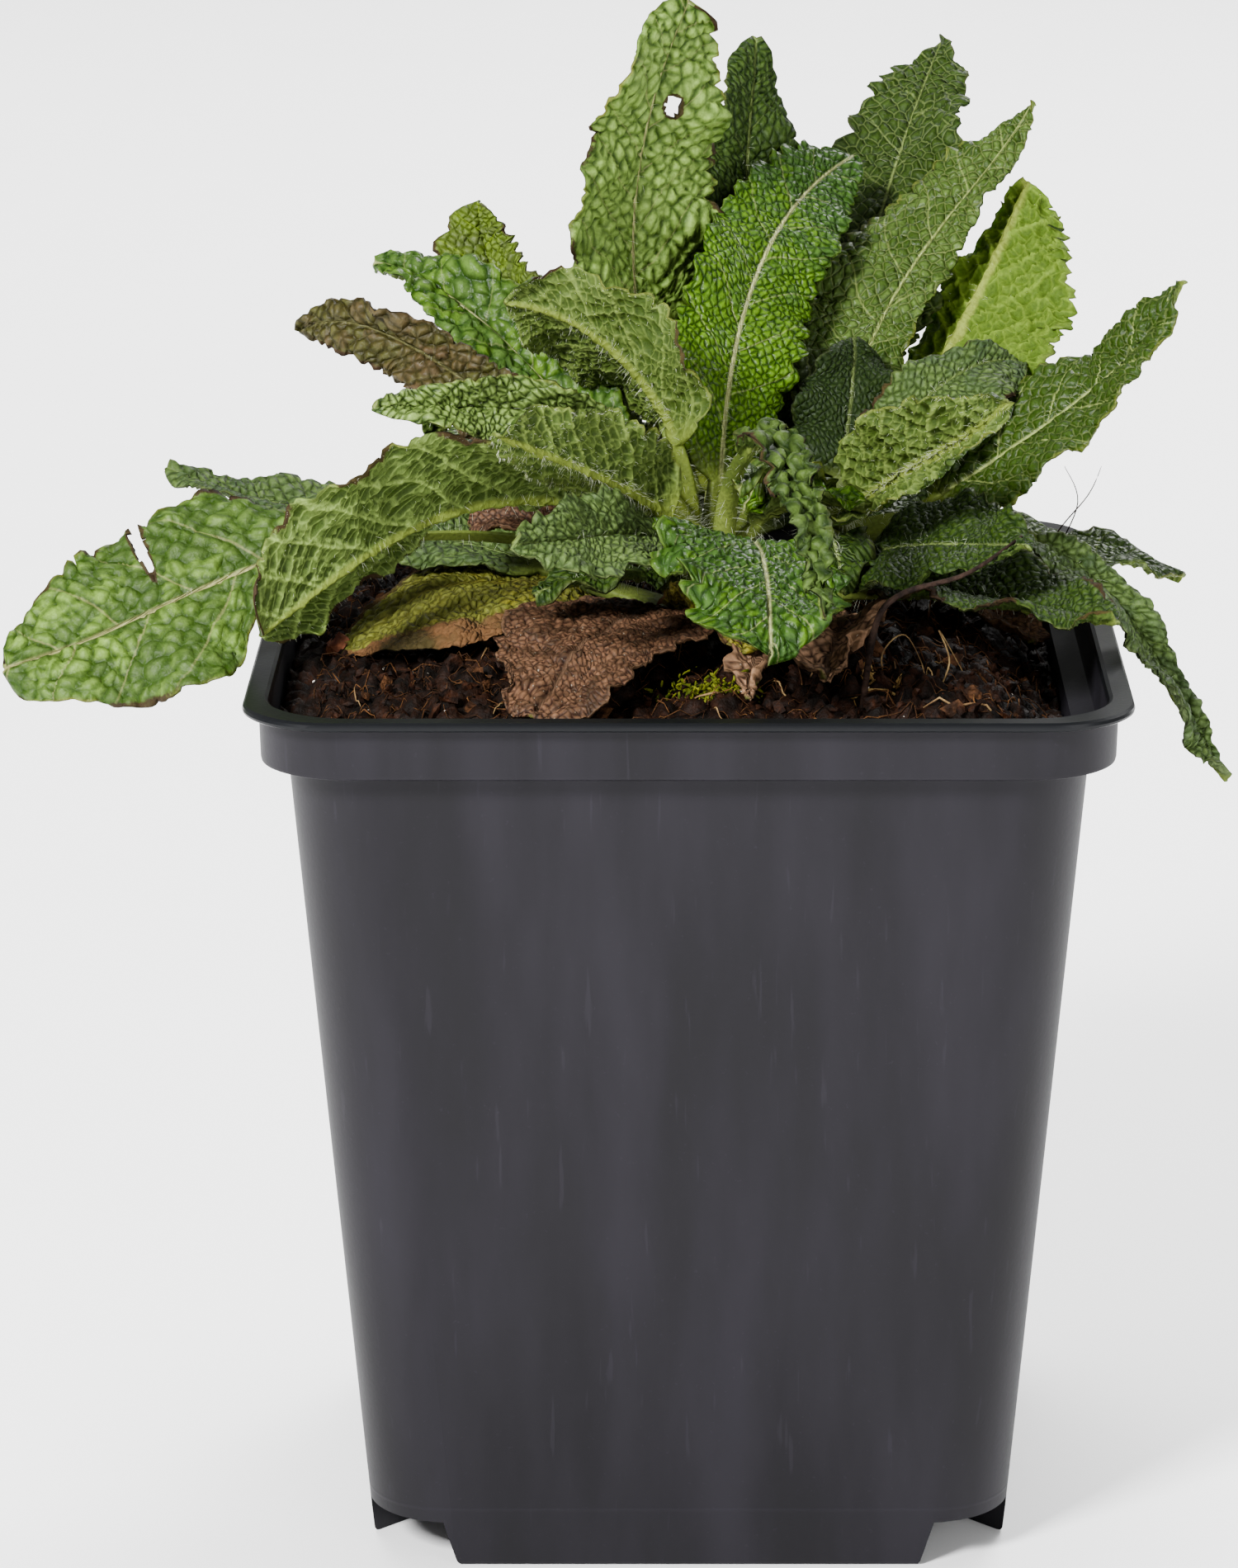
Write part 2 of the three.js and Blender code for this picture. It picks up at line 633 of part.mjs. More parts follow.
// One row of the leaf: points across its upper face, then across its lower face.
function section(leaf, centre, t, row) {
  const { side, up } = frameAt(leaf, t);
  const [half, u] = bladeHalf(leaf, t);
  const isBlade = smoothstep(t, leaf.stalk + BLADE.opens[0], leaf.stalk + BLADE.opens[1]);
  const fold = radians(leaf.fold);
  const rib = RIB.depth * (1 - RIB.lostAtTip * t);
  const upper = [];
  const lower = [];
  for (let column = 0; column < leaf.columns; column++) {
    const q = (2 * column) / (leaf.columns - 1) - 1;
    const tooth = 1 + toothAt(row, q) * isBlade;
    const wave = Math.sin(TURN * (leaf.waves * u + BLADE.wavePhase * Math.sign(q)));
    const curl = half * (Math.abs(q) * Math.sin(fold) + leaf.cup * q * q);
    const ripple = leaf.ruffle * Math.abs(q) ** 1.5 * wave * smoothstep(u, 0, BLADE.waveStart);
    const lift = isBlade * (curl + ripple);
    const slope = isBlade * (Math.sign(q) * Math.sin(fold) + 2 * leaf.cup * q);
    const normal = up.clone().multiplyScalar(Math.cos(fold)).addScaledVector(side, -slope).normalize();
    const middle = centre.clone().addScaledVector(side, half * tooth * q * Math.cos(fold));
    middle.addScaledVector(up, lift);
    const ribHere = rib * Math.sqrt(Math.max(0, 1 - ((half * q) / RIB.halfWidth) ** 2));
    upper.push(middle.clone().addScaledVector(normal, BLADE.halfThickness));
    lower.push(middle.clone().addScaledVector(normal, -BLADE.halfThickness - ribHere));
  }
  return [...upper, ...lower];
}

// A thin closed solid through the rows, both faces split along the same diagonals.
function bladeSolid(rows, columns) {
  const stride = 2 * columns;
  const triangles = [];
  for (let row = 0; row < rows.length - 1; row++) {
    const here = row * stride;
    const next = here + stride;
    for (let j = 0; j < columns - 1; j++) {
      triangles.push(here + j, here + j + 1, next + j + 1, here + j, next + j + 1, next + j);
      const [a, b] = [here + columns + j, next + columns + j];
      triangles.push(a, b + 1, a + 1, a, b, b + 1);
    }
    const end = columns - 1;
    triangles.push(here, next, next + columns, here, next + columns, here + columns);
    triangles.push(here + end, here + end + columns, next + end + columns);
    triangles.push(here + end, next + end + columns, next + end);
  }
  const last = (rows.length - 1) * stride;
  for (let j = 0; j < columns - 1; j++) {
    triangles.push(j, j + columns, j + columns + 1, j, j + columns + 1, j + 1);
    const tip = last + j;
    triangles.push(tip, tip + columns + 1, tip + columns, tip, tip + 1, tip + columns + 1);
  }
  return indexedGeometry(rows.flat(), triangles);
}

function makeLeaf(own) {
  const leaf = { ...PLAIN_LEAF, ...own };
  const shares = stations(leaf);
  const centres = midrib(leaf, shares);
  const rows = shares.map((t, row) => section(leaf, centres[row], t, row));
  return meshOf(leaf.name, bladeSolid(rows, leaf.columns), MATERIALS[leaf.tone]);
}

// ---- Fallen leaves and litter -------------------------------------------------------------------

// One row of a fallen leaf, square to its heading, draped over the compost.
function fallenSection(leaf, centre, heading, t, row) {
  const bulge = Math.sin(Math.PI * t ** leaf.belly) ** leaf.taper || 0;
  const half = Math.max((leaf.width / 2) * bulge, DRY.tipHalf);
  const upper = [];
  const lower = [];
  for (let column = 0; column < DRY.columns; column++) {
    const q = (2 * column) / (DRY.columns - 1) - 1;
    const reach = half * (1 + toothAt(row, q)) * q;
    const x = centre.x + Math.sin(heading) * reach;
    const y = centre.y - Math.cos(heading) * reach;
    const wave = (1 + Math.sin(TURN * (leaf.waves * t + DRY.wavePhase * q))) / 2;
    const lift = (leaf.arch + leaf.curl * q * q) * Math.sin(Math.PI * t);
    const z = moundHeight(x, y) + leaf.bed + lift + leaf.crumple * wave;
    upper.push(new THREE.Vector3(x, y, z + BLADE.halfThickness));
    lower.push(new THREE.Vector3(x, y, z - BLADE.halfThickness));
  }
  return [...upper, ...lower];
}

function makeFallenLeaf(own) {
  const leaf = { ...PLAIN_FALLEN, ...own };
  const last = 2 * Math.round(leaf.length / TOOTH.pitch);
  const centre = new THREE.Vector2(...leaf.at);
  const rows = [];
  for (let row = 0; row <= last; row++) {
    const heading = radians(leaf.azimuth + (leaf.swing * row) / last);
    const along = new THREE.Vector2(Math.cos(heading), Math.sin(heading));
    if (row) centre.addScaledVector(along, leaf.length / last);
    rows.push(fallenSection(leaf, centre, heading, row / last, row));
  }
  return meshOf(leaf.name, bladeSolid(rows, DRY.columns), MATERIALS[leaf.tone]);
}

function makeBarkChip() {
  const [x, y] = BARK_CHIP.at;
  const chip = new THREE.BoxGeometry(...BARK_CHIP.size);
  chip.rotateY(radians(BARK_CHIP.tilt));
  chip.rotateZ(radians(BARK_CHIP.turn));
  chip.translate(x, y, moundHeight(x, y) + BARK_CHIP.size[2]);
  return meshOf("bark_chip", chip, MATERIALS.bark);
}

// ---- Assembly -----------------------------------------------------------------------------------

const salvia = new THREE.Group();
salvia.name = "perennial_salvia";
salvia.add(makePot(), makeSoil(), makeCrown());
const foliage = new THREE.Group();
foliage.name = "foliage";
LEAVES.forEach((leaf) => foliage.add(makeLeaf(leaf)));
FALLEN.forEach((leaf) => foliage.add(makeFallenLeaf(leaf)));
salvia.add(foliage, makeBarkChip());

export default salvia;
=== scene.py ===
"""Looks of a perennial salvia in a square nursery pot.

The plant is a rosette of wrinkled, round-toothed leaves on three short shoots, in a mound of peat
compost. Shapes are worked out in millimetres with numpy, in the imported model's own frame, and made
into meshes in metres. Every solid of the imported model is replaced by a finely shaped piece.
"""

from __future__ import annotations

import sys

import logging
import math
from dataclasses import dataclass
from enum import Enum
from itertools import combinations
from typing import Sequence

import bpy
import numpy as np
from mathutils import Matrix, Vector


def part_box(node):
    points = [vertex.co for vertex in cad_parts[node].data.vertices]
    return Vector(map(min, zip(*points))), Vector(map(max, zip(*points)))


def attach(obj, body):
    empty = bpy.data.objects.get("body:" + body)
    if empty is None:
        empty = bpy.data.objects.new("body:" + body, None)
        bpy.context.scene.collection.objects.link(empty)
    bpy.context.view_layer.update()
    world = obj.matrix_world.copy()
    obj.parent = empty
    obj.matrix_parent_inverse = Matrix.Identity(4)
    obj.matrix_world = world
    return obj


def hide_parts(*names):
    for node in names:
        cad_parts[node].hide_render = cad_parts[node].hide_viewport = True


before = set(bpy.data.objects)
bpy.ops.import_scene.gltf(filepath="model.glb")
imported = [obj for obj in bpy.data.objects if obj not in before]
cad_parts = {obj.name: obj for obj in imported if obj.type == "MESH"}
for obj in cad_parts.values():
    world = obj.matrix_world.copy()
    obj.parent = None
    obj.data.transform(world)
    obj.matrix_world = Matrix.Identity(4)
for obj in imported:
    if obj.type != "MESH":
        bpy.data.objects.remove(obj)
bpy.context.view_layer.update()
LOG = logging.getLogger("salvia")
MM = 0.001
Array = np.ndarray
Colour = tuple[float, float, float]
Spot = tuple[float, float, float]  # a place, or sizes along X, Y and Z


# ---- Numbers ------------------------------------------------------------------------------------


def paint(red: int, green: int, blue: int) -> Colour:
    """A screen colour, 0 to 255 in each channel, as linear light."""
    return tuple(
        (c / 12.92 if c <= 0.04045 else ((c + 0.055) / 1.055) ** 2.4)
        for c in (red / 255, green / 255, blue / 255)
    )


def ease(x: Array, start: float, end: float) -> Array:
    """Rises smoothly from 0 at start to 1 at end: 3x^2 - 2x^3 of the clipped share."""
    share = np.clip((x - start) / (end - start), 0, 1)
    return share * share * (3 - 2 * share)


def hashed(i: Array, j: Array, salt: int) -> Array:
    """A repeatable number from 0 to 1 for each pair of whole numbers.

    Args:
        i, j: the pairs.
        salt: chooses one of many sets of such numbers.

    Returns:
        Those numbers.
    """
    mixed = np.asarray(i, np.int64) * 73856093 ^ np.asarray(j, np.int64) * 19349663 ^ salt * 83492791
    mixed = (mixed ^ (mixed >> 13)) * 1274126177 & 0x7FFFFFFF
    mixed = (mixed ^ (mixed >> 15)) * 668265263 & 0x7FFFFFFF
    return ((mixed ^ (mixed >> 11)) & 0xFFFFF) / 0xFFFFF


def noise(x: Array, y: Array, salt: int) -> Array:
    """Smooth noise from -1 to 1: hashed values at whole numbers, blended with eased weights.

    Args:
        x, y: where to read it, in widths of a patch.
        salt: chooses the pattern.

    Returns:
        The noise at each place.
    """
    x, y = np.broadcast_arrays(x, y)
    i, j = np.floor(x).astype(np.int64), np.floor(y).astype(np.int64)
    u, v = ease(x - i, 0, 1), ease(y - j, 0, 1)
    low = hashed(i, j, salt) * (1 - u) + hashed(i + 1, j, salt) * u
    high = hashed(i, j + 1, salt) * (1 - u) + hashed(i + 1, j + 1, salt) * u
    return 2 * (low * (1 - v) + high * v) - 1


def cloud(x: Array, y: Array, salt: int, octaves: int = 3) -> Array:
    """Noise with finer noise on it, each octave half as high and half as wide as the last."""
    return sum(noise(x * 2**k, y * 2**k, salt + k) / 2**k for k in range(octaves)) / 1.6


def cells(x: Array, y: Array, salt: int, scatter: float = 0.7) -> tuple[Array, Array]:
    """A pattern of cells, one round a scattered point in each unit square.

    Args:
        x, y: where to read it, in cell widths.
        salt: chooses the pattern.
        scatter: how far each point may lie from the middle of its square.

    Returns:
        The distance to the nearest border, half the difference of the two nearest points'
        distances, and a number from 0 to 1 that is the same all over a cell.
    """
    x, y = np.broadcast_arrays(x, y)
    i, j = np.floor(x).astype(np.int64), np.floor(y).astype(np.int64)
    near, second, tone = np.full(x.shape, 9.0), np.full(x.shape, 9.0), np.zeros(x.shape)
    for a in (i - 1, i, i + 1):
        for b in (j - 1, j, j + 1):
            gap_x = x - a - 0.5 - scatter * (hashed(a, b, salt) - 0.5)
            gap_y = y - b - 0.5 - scatter * (hashed(a, b, salt + 1) - 0.5)
            gap = np.hypot(gap_x, gap_y)
            closer = gap < near
            second = np.where(closer, near, np.minimum(second, gap))
            tone = np.where(closer, hashed(a, b, salt + 2), tone)
            near = np.where(closer, gap, near)
    return (second - near) / 2, tone


def ridge(gap: Array, height: float, half: float) -> Array:
    """A smooth ridge over the distance from its line: height exp(-(gap / half)^2)."""
    return height * np.exp(-((gap / half) ** 2))


def dome(share: Array) -> Array:
    """A round dome over 0 to 1: the height of a quarter circle, sqrt(1 - (1 - share)^2)."""
    clipped = np.clip(share, 0, 1)
    return np.sqrt(clipped * (2 - clipped))


def unit(vectors: Array) -> Array:
    """The same vectors at length 1."""
    return vectors / np.maximum(np.linalg.norm(vectors, axis=-1, keepdims=True), 1e-9)


def normals_of(sheet: Array) -> Array:
    """Unit normals of a grid of points: the cross product of its column and row steps."""
    return unit(np.cross(np.gradient(sheet, axis=1), np.gradient(sheet, axis=0)))


# ---- Meshes -------------------------------------------------------------------------------------


@dataclass
class Cloth:
    """Points and faces of one piece, with what its finish reads at each point."""

    points: Array
    faces: list[Array]
    marks: Array | None = None
    flow: Array | None = None
    tints: Array | None = None
    place: Array | None = None
    is_smooth: bool = True

    def bare(self, name: str) -> bpy.types.Object:
        """Makes a plain object of the shape, in metres, at the origin.

        Args:
            name: the object's name.

        Returns:
            The object.
        """
        mesh = bpy.data.meshes.new(name)
        mesh.vertices.add(len(self.points))
        mesh.vertices.foreach_set("co", (self.points * MM).astype(np.float32).ravel())
        sizes = np.concatenate([np.full(len(face), face.shape[1]) for face in self.faces])
        corners = np.concatenate([face.ravel() for face in self.faces])
        mesh.loops.add(len(corners))
        mesh.loops.foreach_set("vertex_index", corners.astype(np.int32))
        mesh.polygons.add(len(sizes))
        mesh.polygons.foreach_set("loop_start", (np.cumsum(sizes) - sizes).astype(np.int32))
        mesh.update(calc_edges=True)
        made = bpy.data.objects.new(name, mesh)
        bpy.context.scene.collection.objects.link(made)
        return made

    def piece(self, name: str, finish: bpy.types.Material, slot: str, *nodes: str) -> bpy.types.Object:
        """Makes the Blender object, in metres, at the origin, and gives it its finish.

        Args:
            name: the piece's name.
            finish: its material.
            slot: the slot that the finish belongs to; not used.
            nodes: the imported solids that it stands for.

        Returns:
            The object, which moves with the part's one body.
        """
        made = self.bare(name)
        mesh = made.data
        for label in ("marks", "flow", "tints", "place"):
            values = getattr(self, label)
            if values is not None:
                layer = mesh.attributes.new(label, "FLOAT_COLOR", "POINT")
                layer.data.foreach_set("color", values.astype(np.float32).ravel())
        mesh.validate()
        if self.is_smooth:
            mesh.shade_smooth()
        else:
            mesh.shade_flat()
        mesh.materials.append(finish)
        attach(made, "root")
        if nodes:
            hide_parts(*nodes)
        LOG.info("%s: %d faces", name, len(mesh.polygons))
        return made


def rgba(*channels: Array | float) -> Array:
    """Four channels of equal shape, stacked for a point attribute."""
    filled = np.broadcast_arrays(*channels, *[np.float64(1)] * (4 - len(channels)))
    return np.stack(filled, axis=-1)


def sheet(upper: Array, lower: Array, keep: Array, marks: Array, *more: Array) -> Cloth:
    """A thin closed piece between two grids of points, with cells left out where it has holes.

    Each kept cell gives a face above and one below, and each of its edges without a kept
    neighbour gives a wall face between the two.

    Args:
        upper, lower: the two grids, rows by columns by 3.
        keep: which cells exist, one row and column fewer than the grids.
        marks: four channels at each place of the grid. The last becomes 1 on the lower face.
        more: the other attributes, four channels each.

    Returns:
        The piece, with only those points that its faces use.
    """
    rows, columns = upper.shape[:2]
    number = np.arange(rows * columns).reshape(rows, columns)
    a, b, c, d = number[:-1, :-1], number[:-1, 1:], number[1:, 1:], number[1:, :-1]
    under = rows * columns
    top = np.stack([a, b, c, d], -1)[keep]
    faces = [top, top[:, ::-1] + under]
    padded = np.pad(keep, 1)
    open_edges = (
        (~padded[1:-1, :-2], d, a),
        (~padded[1:-1, 2:], b, c),
        (~padded[:-2, 1:-1], a, b),
        (~padded[2:, 1:-1], c, d),
    )
    for is_open, first, last in open_edges:
        edge = keep & is_open
        start, end = first[edge], last[edge]
        faces.append(np.stack([end, start, start + under, end + under], -1))
    used, corners = np.unique(np.concatenate([f.ravel() for f in faces]), return_inverse=True)
    points = np.concatenate([upper.reshape(-1, 3), lower.reshape(-1, 3)])[used]
    both = np.concatenate([marks.reshape(-1, 4)] * 2)[used]
    both[:, 3] = used >= under
    rest = [np.concatenate([four.reshape(-1, 4)] * 2)[used] for four in more]
    return Cloth(points, [corners.reshape(-1, 4)], both, *rest)


def tiles(rows: int, columns: int) -> tuple[Array, Array]:
    """The point numbers of a grid, and its faces, which look up where rows follow X.

    Args:
        rows, columns: its size.

    Returns:
        The numbers, rows by columns, and the faces.
    """
    number = np.arange(rows * columns).reshape(rows, columns)
    corners = [number[:-1, :-1], number[1:, :-1], number[1:, 1:], number[:-1, 1:]]
    return number, np.stack(corners, -1).reshape(-1, 4)


def solid(rings: Array) -> Cloth:
    """A closed piece through rings of points, with flat ends.

    Args:
        rings: rings by points by 3. Each runs anticlockwise, seen from the last.

    Returns:
        The piece.
    """
    number = np.arange(rings.shape[0] * rings.shape[1]).reshape(rings.shape[:2])
    turned = np.roll(number, -1, axis=1)
    walls = np.stack([number[:-1], turned[:-1], turned[1:], number[1:]], -1).reshape(-1, 4)
    return Cloth(rings.reshape(-1, 3), [walls, number[:1, ::-1], number[-1:]])


def strands(paths: Array, radii: Array, sides: int = 3) -> Cloth:
    """Closed tubes along many paths at once: rings of points square to each path, and flat ends.

    Args:
        paths: strands by steps by 3.
        radii: the radius at each step, strands by steps.
        sides: how many faces go round a tube.

    Returns:
        All the tubes as one piece.
    """
    count, steps = paths.shape[:2]
    along = unit(np.gradient(paths, axis=1))
    aside = np.cross(along, np.array([0.31, 0.17, 0.94]))
    across = unit(np.where(np.linalg.norm(aside, axis=-1, keepdims=True) < 0.1, [1.0, 0, 0], aside))
    rise = unit(np.cross(across, along))
    angle = np.arange(sides) * 2 * math.pi / sides
    spoke = across[:, :, None] * np.cos(angle)[:, None] + rise[:, :, None] * np.sin(angle)[:, None]
    points = paths[:, :, None] + radii[:, :, None, None] * spoke
    number = np.arange(count * steps * sides).reshape(count, steps, sides)
    turned = np.roll(number, -1, axis=2)
    walls = np.stack([number[:, :-1], number[:, 1:], turned[:, 1:], turned[:, :-1]], -1)
    faces = [walls.reshape(-1, 4), number[:, 0], number[:, -1, ::-1]]
    return Cloth(points.reshape(-1, 3), faces)


def lumps(centres: Array, sizes: Array, salt: int) -> Cloth:
    """Small rough grains: 12 points on a ball, pushed in and out at random, joined by 20 faces.

    Args:
        centres: grains by 3.
        sizes: half-widths along X, Y and Z, grains by 3.
        salt: seeds the roughness.

    Returns:
        All the grains as one piece.
    """
    golden = (1 + math.sqrt(5)) / 2
    signs = [(a, b) for a in (-1, 1) for b in (-1, 1)]
    ball = unit(np.array(
        [(a, b * golden, 0) for a, b in signs] + [(0, a, b * golden) for a, b in signs]
        + [(a * golden, 0, b) for a, b in signs]
    ))
    near = np.linalg.norm(ball[:, None] - ball[None], axis=-1) < 1.2
    shell = []
    for i, j, k in combinations(range(12), 3):
        if near[i, j] and near[j, k] and near[i, k]:
            faces_out = np.dot(np.cross(ball[j] - ball[i], ball[k] - ball[i]), ball[i]) > 0
            shell.append((i, j, k) if faces_out else (i, k, j))
    random = np.random.default_rng(salt)
    rough = random.uniform(0.4, 1.3, (len(centres), 12, 1))
    turn = np.linalg.qr(random.normal(size=(len(centres), 3, 3)))[0]
    turn *= np.sign(np.linalg.det(turn))[:, None, None]
    points = centres[:, None] + np.einsum("nij,nkj->nki", turn, ball * rough * sizes[:, None])
    faces = np.array(shell)[None] + 12 * np.arange(len(centres))[:, None, None]
    return Cloth(points.reshape(-1, 3), [faces.reshape(-1, 3)], is_smooth=False)


# ---- Finishes -----------------------------------------------------------------------------------


class Wire:
    """A socket of a material's node tree that adds its own Math nodes when it is used in a sum."""

    def __init__(self, recipe: Recipe, socket: bpy.types.NodeSocket) -> None:
        """Wraps a socket of the recipe's tree."""
        self.recipe, self.socket = recipe, socket

    def _sum(self, operation: str, first: Wire | float, second: Wire | float) -> Wire:
        """Adds one Math node."""
        return self.recipe.node("ShaderNodeMath", {"operation": operation}, {0: first, 1: second})

    def __add__(self, other: Wire | float) -> Wire:
        """self + other."""
        return self._sum("ADD", self, other)

    def __sub__(self, other: Wire | float) -> Wire:
        """self - other."""
        return self._sum("SUBTRACT", self, other)

    def __rsub__(self, other: float) -> Wire:
        """other - self."""
        return self._sum("SUBTRACT", other, self)

    def __mul__(self, other: Wire | float) -> Wire:
        """self * other."""
        return self._sum("MULTIPLY", self, other)

    def over(self, start: float, end: float) -> Wire:
        """0 below start, 1 above end and smooth between."""
        sockets = {"Value": self, "From Min": start, "From Max": end}
        return self.recipe.node("ShaderNodeMapRange", {"interpolation_type": "SMOOTHSTEP"}, sockets)

    __radd__ = __add__
    __rmul__ = __mul__


class Recipe:
    """Builds the node tree of one finish."""

    def __init__(self, name: str) -> None:
        """Starts an empty tree that holds only its output."""
        self.material = bpy.data.materials.new(name)
        self.material.use_nodes = True
        self.tree = self.material.node_tree
        self.tree.nodes.clear()

    def node(
        self, kind: str, settings: dict | None = None, values: dict | None = None,
        out: int | str = 0,
    ) -> Wire:
        """Adds a node.

        Args:
            kind: the node's type.
            settings: what is set on the node first.
            values: a number, a tuple or a Wire for each input, by its name or place.
            out: which output to return.

        Returns:
            That output.
        """
        made = self.tree.nodes.new(kind)
        for key, value in (settings or {}).items():
            setattr(made, key, value)
        for key, value in (values or {}).items():
            if isinstance(value, Wire):
                self.tree.links.new(value.socket, made.inputs[key])
            elif isinstance(value, tuple) and made.inputs[key].type == "RGBA":
                made.inputs[key].default_value = (*value[:3], 1)
            else:
                made.inputs[key].default_value = value
        return Wire(self, made.outputs[out])

    def blend(self, share: Wire | float, first: Wire | Colour, second: Wire | Colour) -> Wire:
        """A colour between first and second."""
        return self.node("ShaderNodeMix", {"data_type": "RGBA"}, {0: share, 6: first, 7: second}, 2)

    def split(self, source: Wire) -> list[Wire]:
        """The three numbers of a vector."""
        made = self.node("ShaderNodeSeparateXYZ", values={0: source}).socket.node
        return [Wire(self, socket) for socket in made.outputs[:3]]

    def read(self, label: str) -> list[Wire]:
        """The four channels of a point attribute."""
        source = self.node("ShaderNodeAttribute", {"attribute_name": label}, out="Vector")
        return [*self.split(source), Wire(self, source.socket.node.outputs["Alpha"])]

    def grain(self, size: float, detail: float = 2, stretch: Spot = (1, 1, 1)) -> Wire:
        """Noise from 0 to 1 on Object coordinates, with patches of about size millimetres.

        Args:
            size: their size.
            detail: how many finer layers lie on them.
            stretch: how dense the noise is along X, Y and Z.

        Returns:
            The noise.
        """
        where = self.node("ShaderNodeTexCoord", out="Object")
        scaled = self.node("ShaderNodeMapping", values={"Vector": where, "Scale": stretch})
        values = {"Vector": scaled, "Scale": 1 / (size * MM), "Detail": detail}
        return self.node("ShaderNodeTexNoise", values=values)

    def height(self) -> Wire:
        """The Z of Object coordinates, in metres."""
        return self.split(self.node("ShaderNodeTexCoord", out="Object"))[2]

    def bump(self, height: Wire, depth: float) -> Wire:
        """A normal from a height, depth millimetres deep."""
        values = {"Height": height, "Strength": 1, "Distance": depth * MM}
        return self.node("ShaderNodeBump", values=values)

    def done(self, **sockets: Wire | float | tuple) -> bpy.types.Material:
        """Ends the tree in a Principled shader with these sockets, named with _ for a space.

        Returns:
            The finished material.
        """
        named = {key.replace("_", " "): value for key, value in sockets.items()}
        shader = self.node("ShaderNodeBsdfPrincipled", values=named)
        output = self.tree.nodes.new("ShaderNodeOutputMaterial")
        self.tree.links.new(shader.socket, output.inputs["Surface"])
        return self.material


@dataclass(frozen=True)
class LeafFinish:
    """Colours of one kind of leaf. Veins show as pale lines above and as pale ribs below."""

    name: str
    dome: Colour
    # Colour of the creases between blisters, darker than the dome: painted shade in the creases, with the
    # leaf's own deeper green there.
    shaded_valley: Colour
    vein: Colour
    hollow: Colour
    rib: Colour
    margin: Colour
    # Second colour: each blister's own tone, and the cast, which is partly painted shade and painted
    # light.
    tint: Colour
    tint_share: float = 0.35  # how strongly it shows below
    stalk: Colour = paint(96, 110, 42)
    scorch: Colour = paint(46, 30, 16)
    crust: Colour = paint(58, 48, 22)
    light: Colour = paint(140, 168, 84)  # painted light: what a leaf lightened in place of light leans toward
    shade_and_mottle_dark: Colour = (0.004, 0.009, 0.002)  # painted shade: what a darkened leaf leans toward; also its fine dark mottling
    dust: Colour = paint(200, 184, 164)
    roughness: float = 0.48
    glow: float = 0.05  # share of light that passes under the surface
    shine: float = 0.14
    relief: float = 0.4  # depth of the fine blisters in millimetres
    speck: float = 0.0  # how much dust there is

    def made(self) -> bpy.types.Material:
        """Builds the material.

        It reads four point attributes. "place" holds where a point is among the fine blisters, in
        widths of one, how far painted shade darkens the leaf (painted light lightens it where that is
        negative), and how wide in millimetres and strong those blisters are. "marks" holds the large
        blister's height, nearness to the margin, browning and which face it is. "flow" holds the lane
        between side veins, the distance from the midrib in widths of it, the share along the leaf and
        how much the side veins show. "tints" holds which part is the stalk, how much the small veins
        show, a tone of each blister's own and a cast along the leaf, partly its own hue and partly
        painted shade and painted light.

        Returns:
            The material.
        """
        r = Recipe(self.name)
        puff, margin, scorch, under = r.read("marks")
        lane, aside, along, veins = r.read("flow")
        stem, net, tone, cast = r.read("tints")
        _, _, shade, size = r.read("place")
        spot = r.node("ShaderNodeAttribute", {"attribute_name": "place"}, out="Vector")
        edge = r.node(
            "ShaderNodeTexVoronoi", {"voronoi_dimensions": "2D", "feature": "DISTANCE_TO_EDGE"},
            {"Vector": spot, "Scale": 1.0, "Randomness": 0.7}, "Distance",
        )
        bulge = edge.over(-0.3, 0.42) * (1 - stem) * size
        patch = r.grain(8, 3)
        fine = r.grain(0.4, 3)
        reach = r.node("ShaderNodeMath", {"operation": "ABSOLUTE"}, {0: aside})
        gap = r.node("ShaderNodeMath", {"operation": "PINGPONG"}, {0: lane, 1: 0.5})
        side = 1 - gap.over(0.004, 0.03)
        line = 1 - (reach + along * 0.28).over(0.2, 0.6)
        broad = 1 - (reach + along * 0.55).over(0.6, 1.05)
        # The cast leans the dome toward the second colour, partly as painted shade and light; painted
        # light then lightens a leaf whose shading is negative.
        lit = r.blend((patch * 0.6 + tone * 0.4 + cast).over(0.3, 0.8), self.dome, self.tint)
        lit = r.blend(shade * -1, lit, self.light)
        pebbles = size.over(0.0, 0.7) * 0.65
        # Blister tops take the dome colour and the creases the darker valley colour, which paints the
        # shade that falls in them.
        tops = edge.over(0.0, 0.35) * pebbles + puff.over(0.2, 1.0) * (1 - pebbles)
        above = r.blend(tops, self.shaded_valley, lit)
        above = r.blend((1 - edge.over(0.03, 0.1)) * net, above, self.vein)
        above = r.blend(side * veins, above, self.vein)
        above = r.blend(line * 0.95, above, self.vein)
        web = (1 - edge.over(0.02, 0.15)) * 0.45 + (1 - puff.over(0.15, 0.9)) * 0.4
        # Painted light on the pale ribs below, for a leaf whose shading is negative.
        rib = r.blend(shade * -1, self.rib, self.light)
        below = r.blend(web, self.hollow, rib)
        below = r.blend((patch + cast).over(0.45, 0.8) * (self.tint_share * 0.7), below, self.tint)
        below = r.blend((1 - gap.over(0.01, 0.07)) * 0.7, below, rib)
        below = r.blend(broad * 0.8, below, self.stalk)
        colour = r.blend(under, above, below)
        colour = r.blend(margin * patch.over(0.4, 0.6) * 0.7, colour, self.margin)
        stalk = r.blend(patch.over(0.4, 0.6) * 0.6, self.stalk, self.hollow)
        colour = r.blend(stem, colour, stalk)
        worn = (scorch + fine * 0.4 - 0.2).over(0.4, 0.6)
        colour = r.blend(worn, colour, r.blend(patch.over(0.4, 0.6), self.scorch, self.crust))
        colour = r.blend(fine.over(0.68, 0.74) * self.speck, colour, self.dust)
        colour = r.blend(fine.over(0.35, 0.7) * 0.3, colour, self.shade_and_mottle_dark)
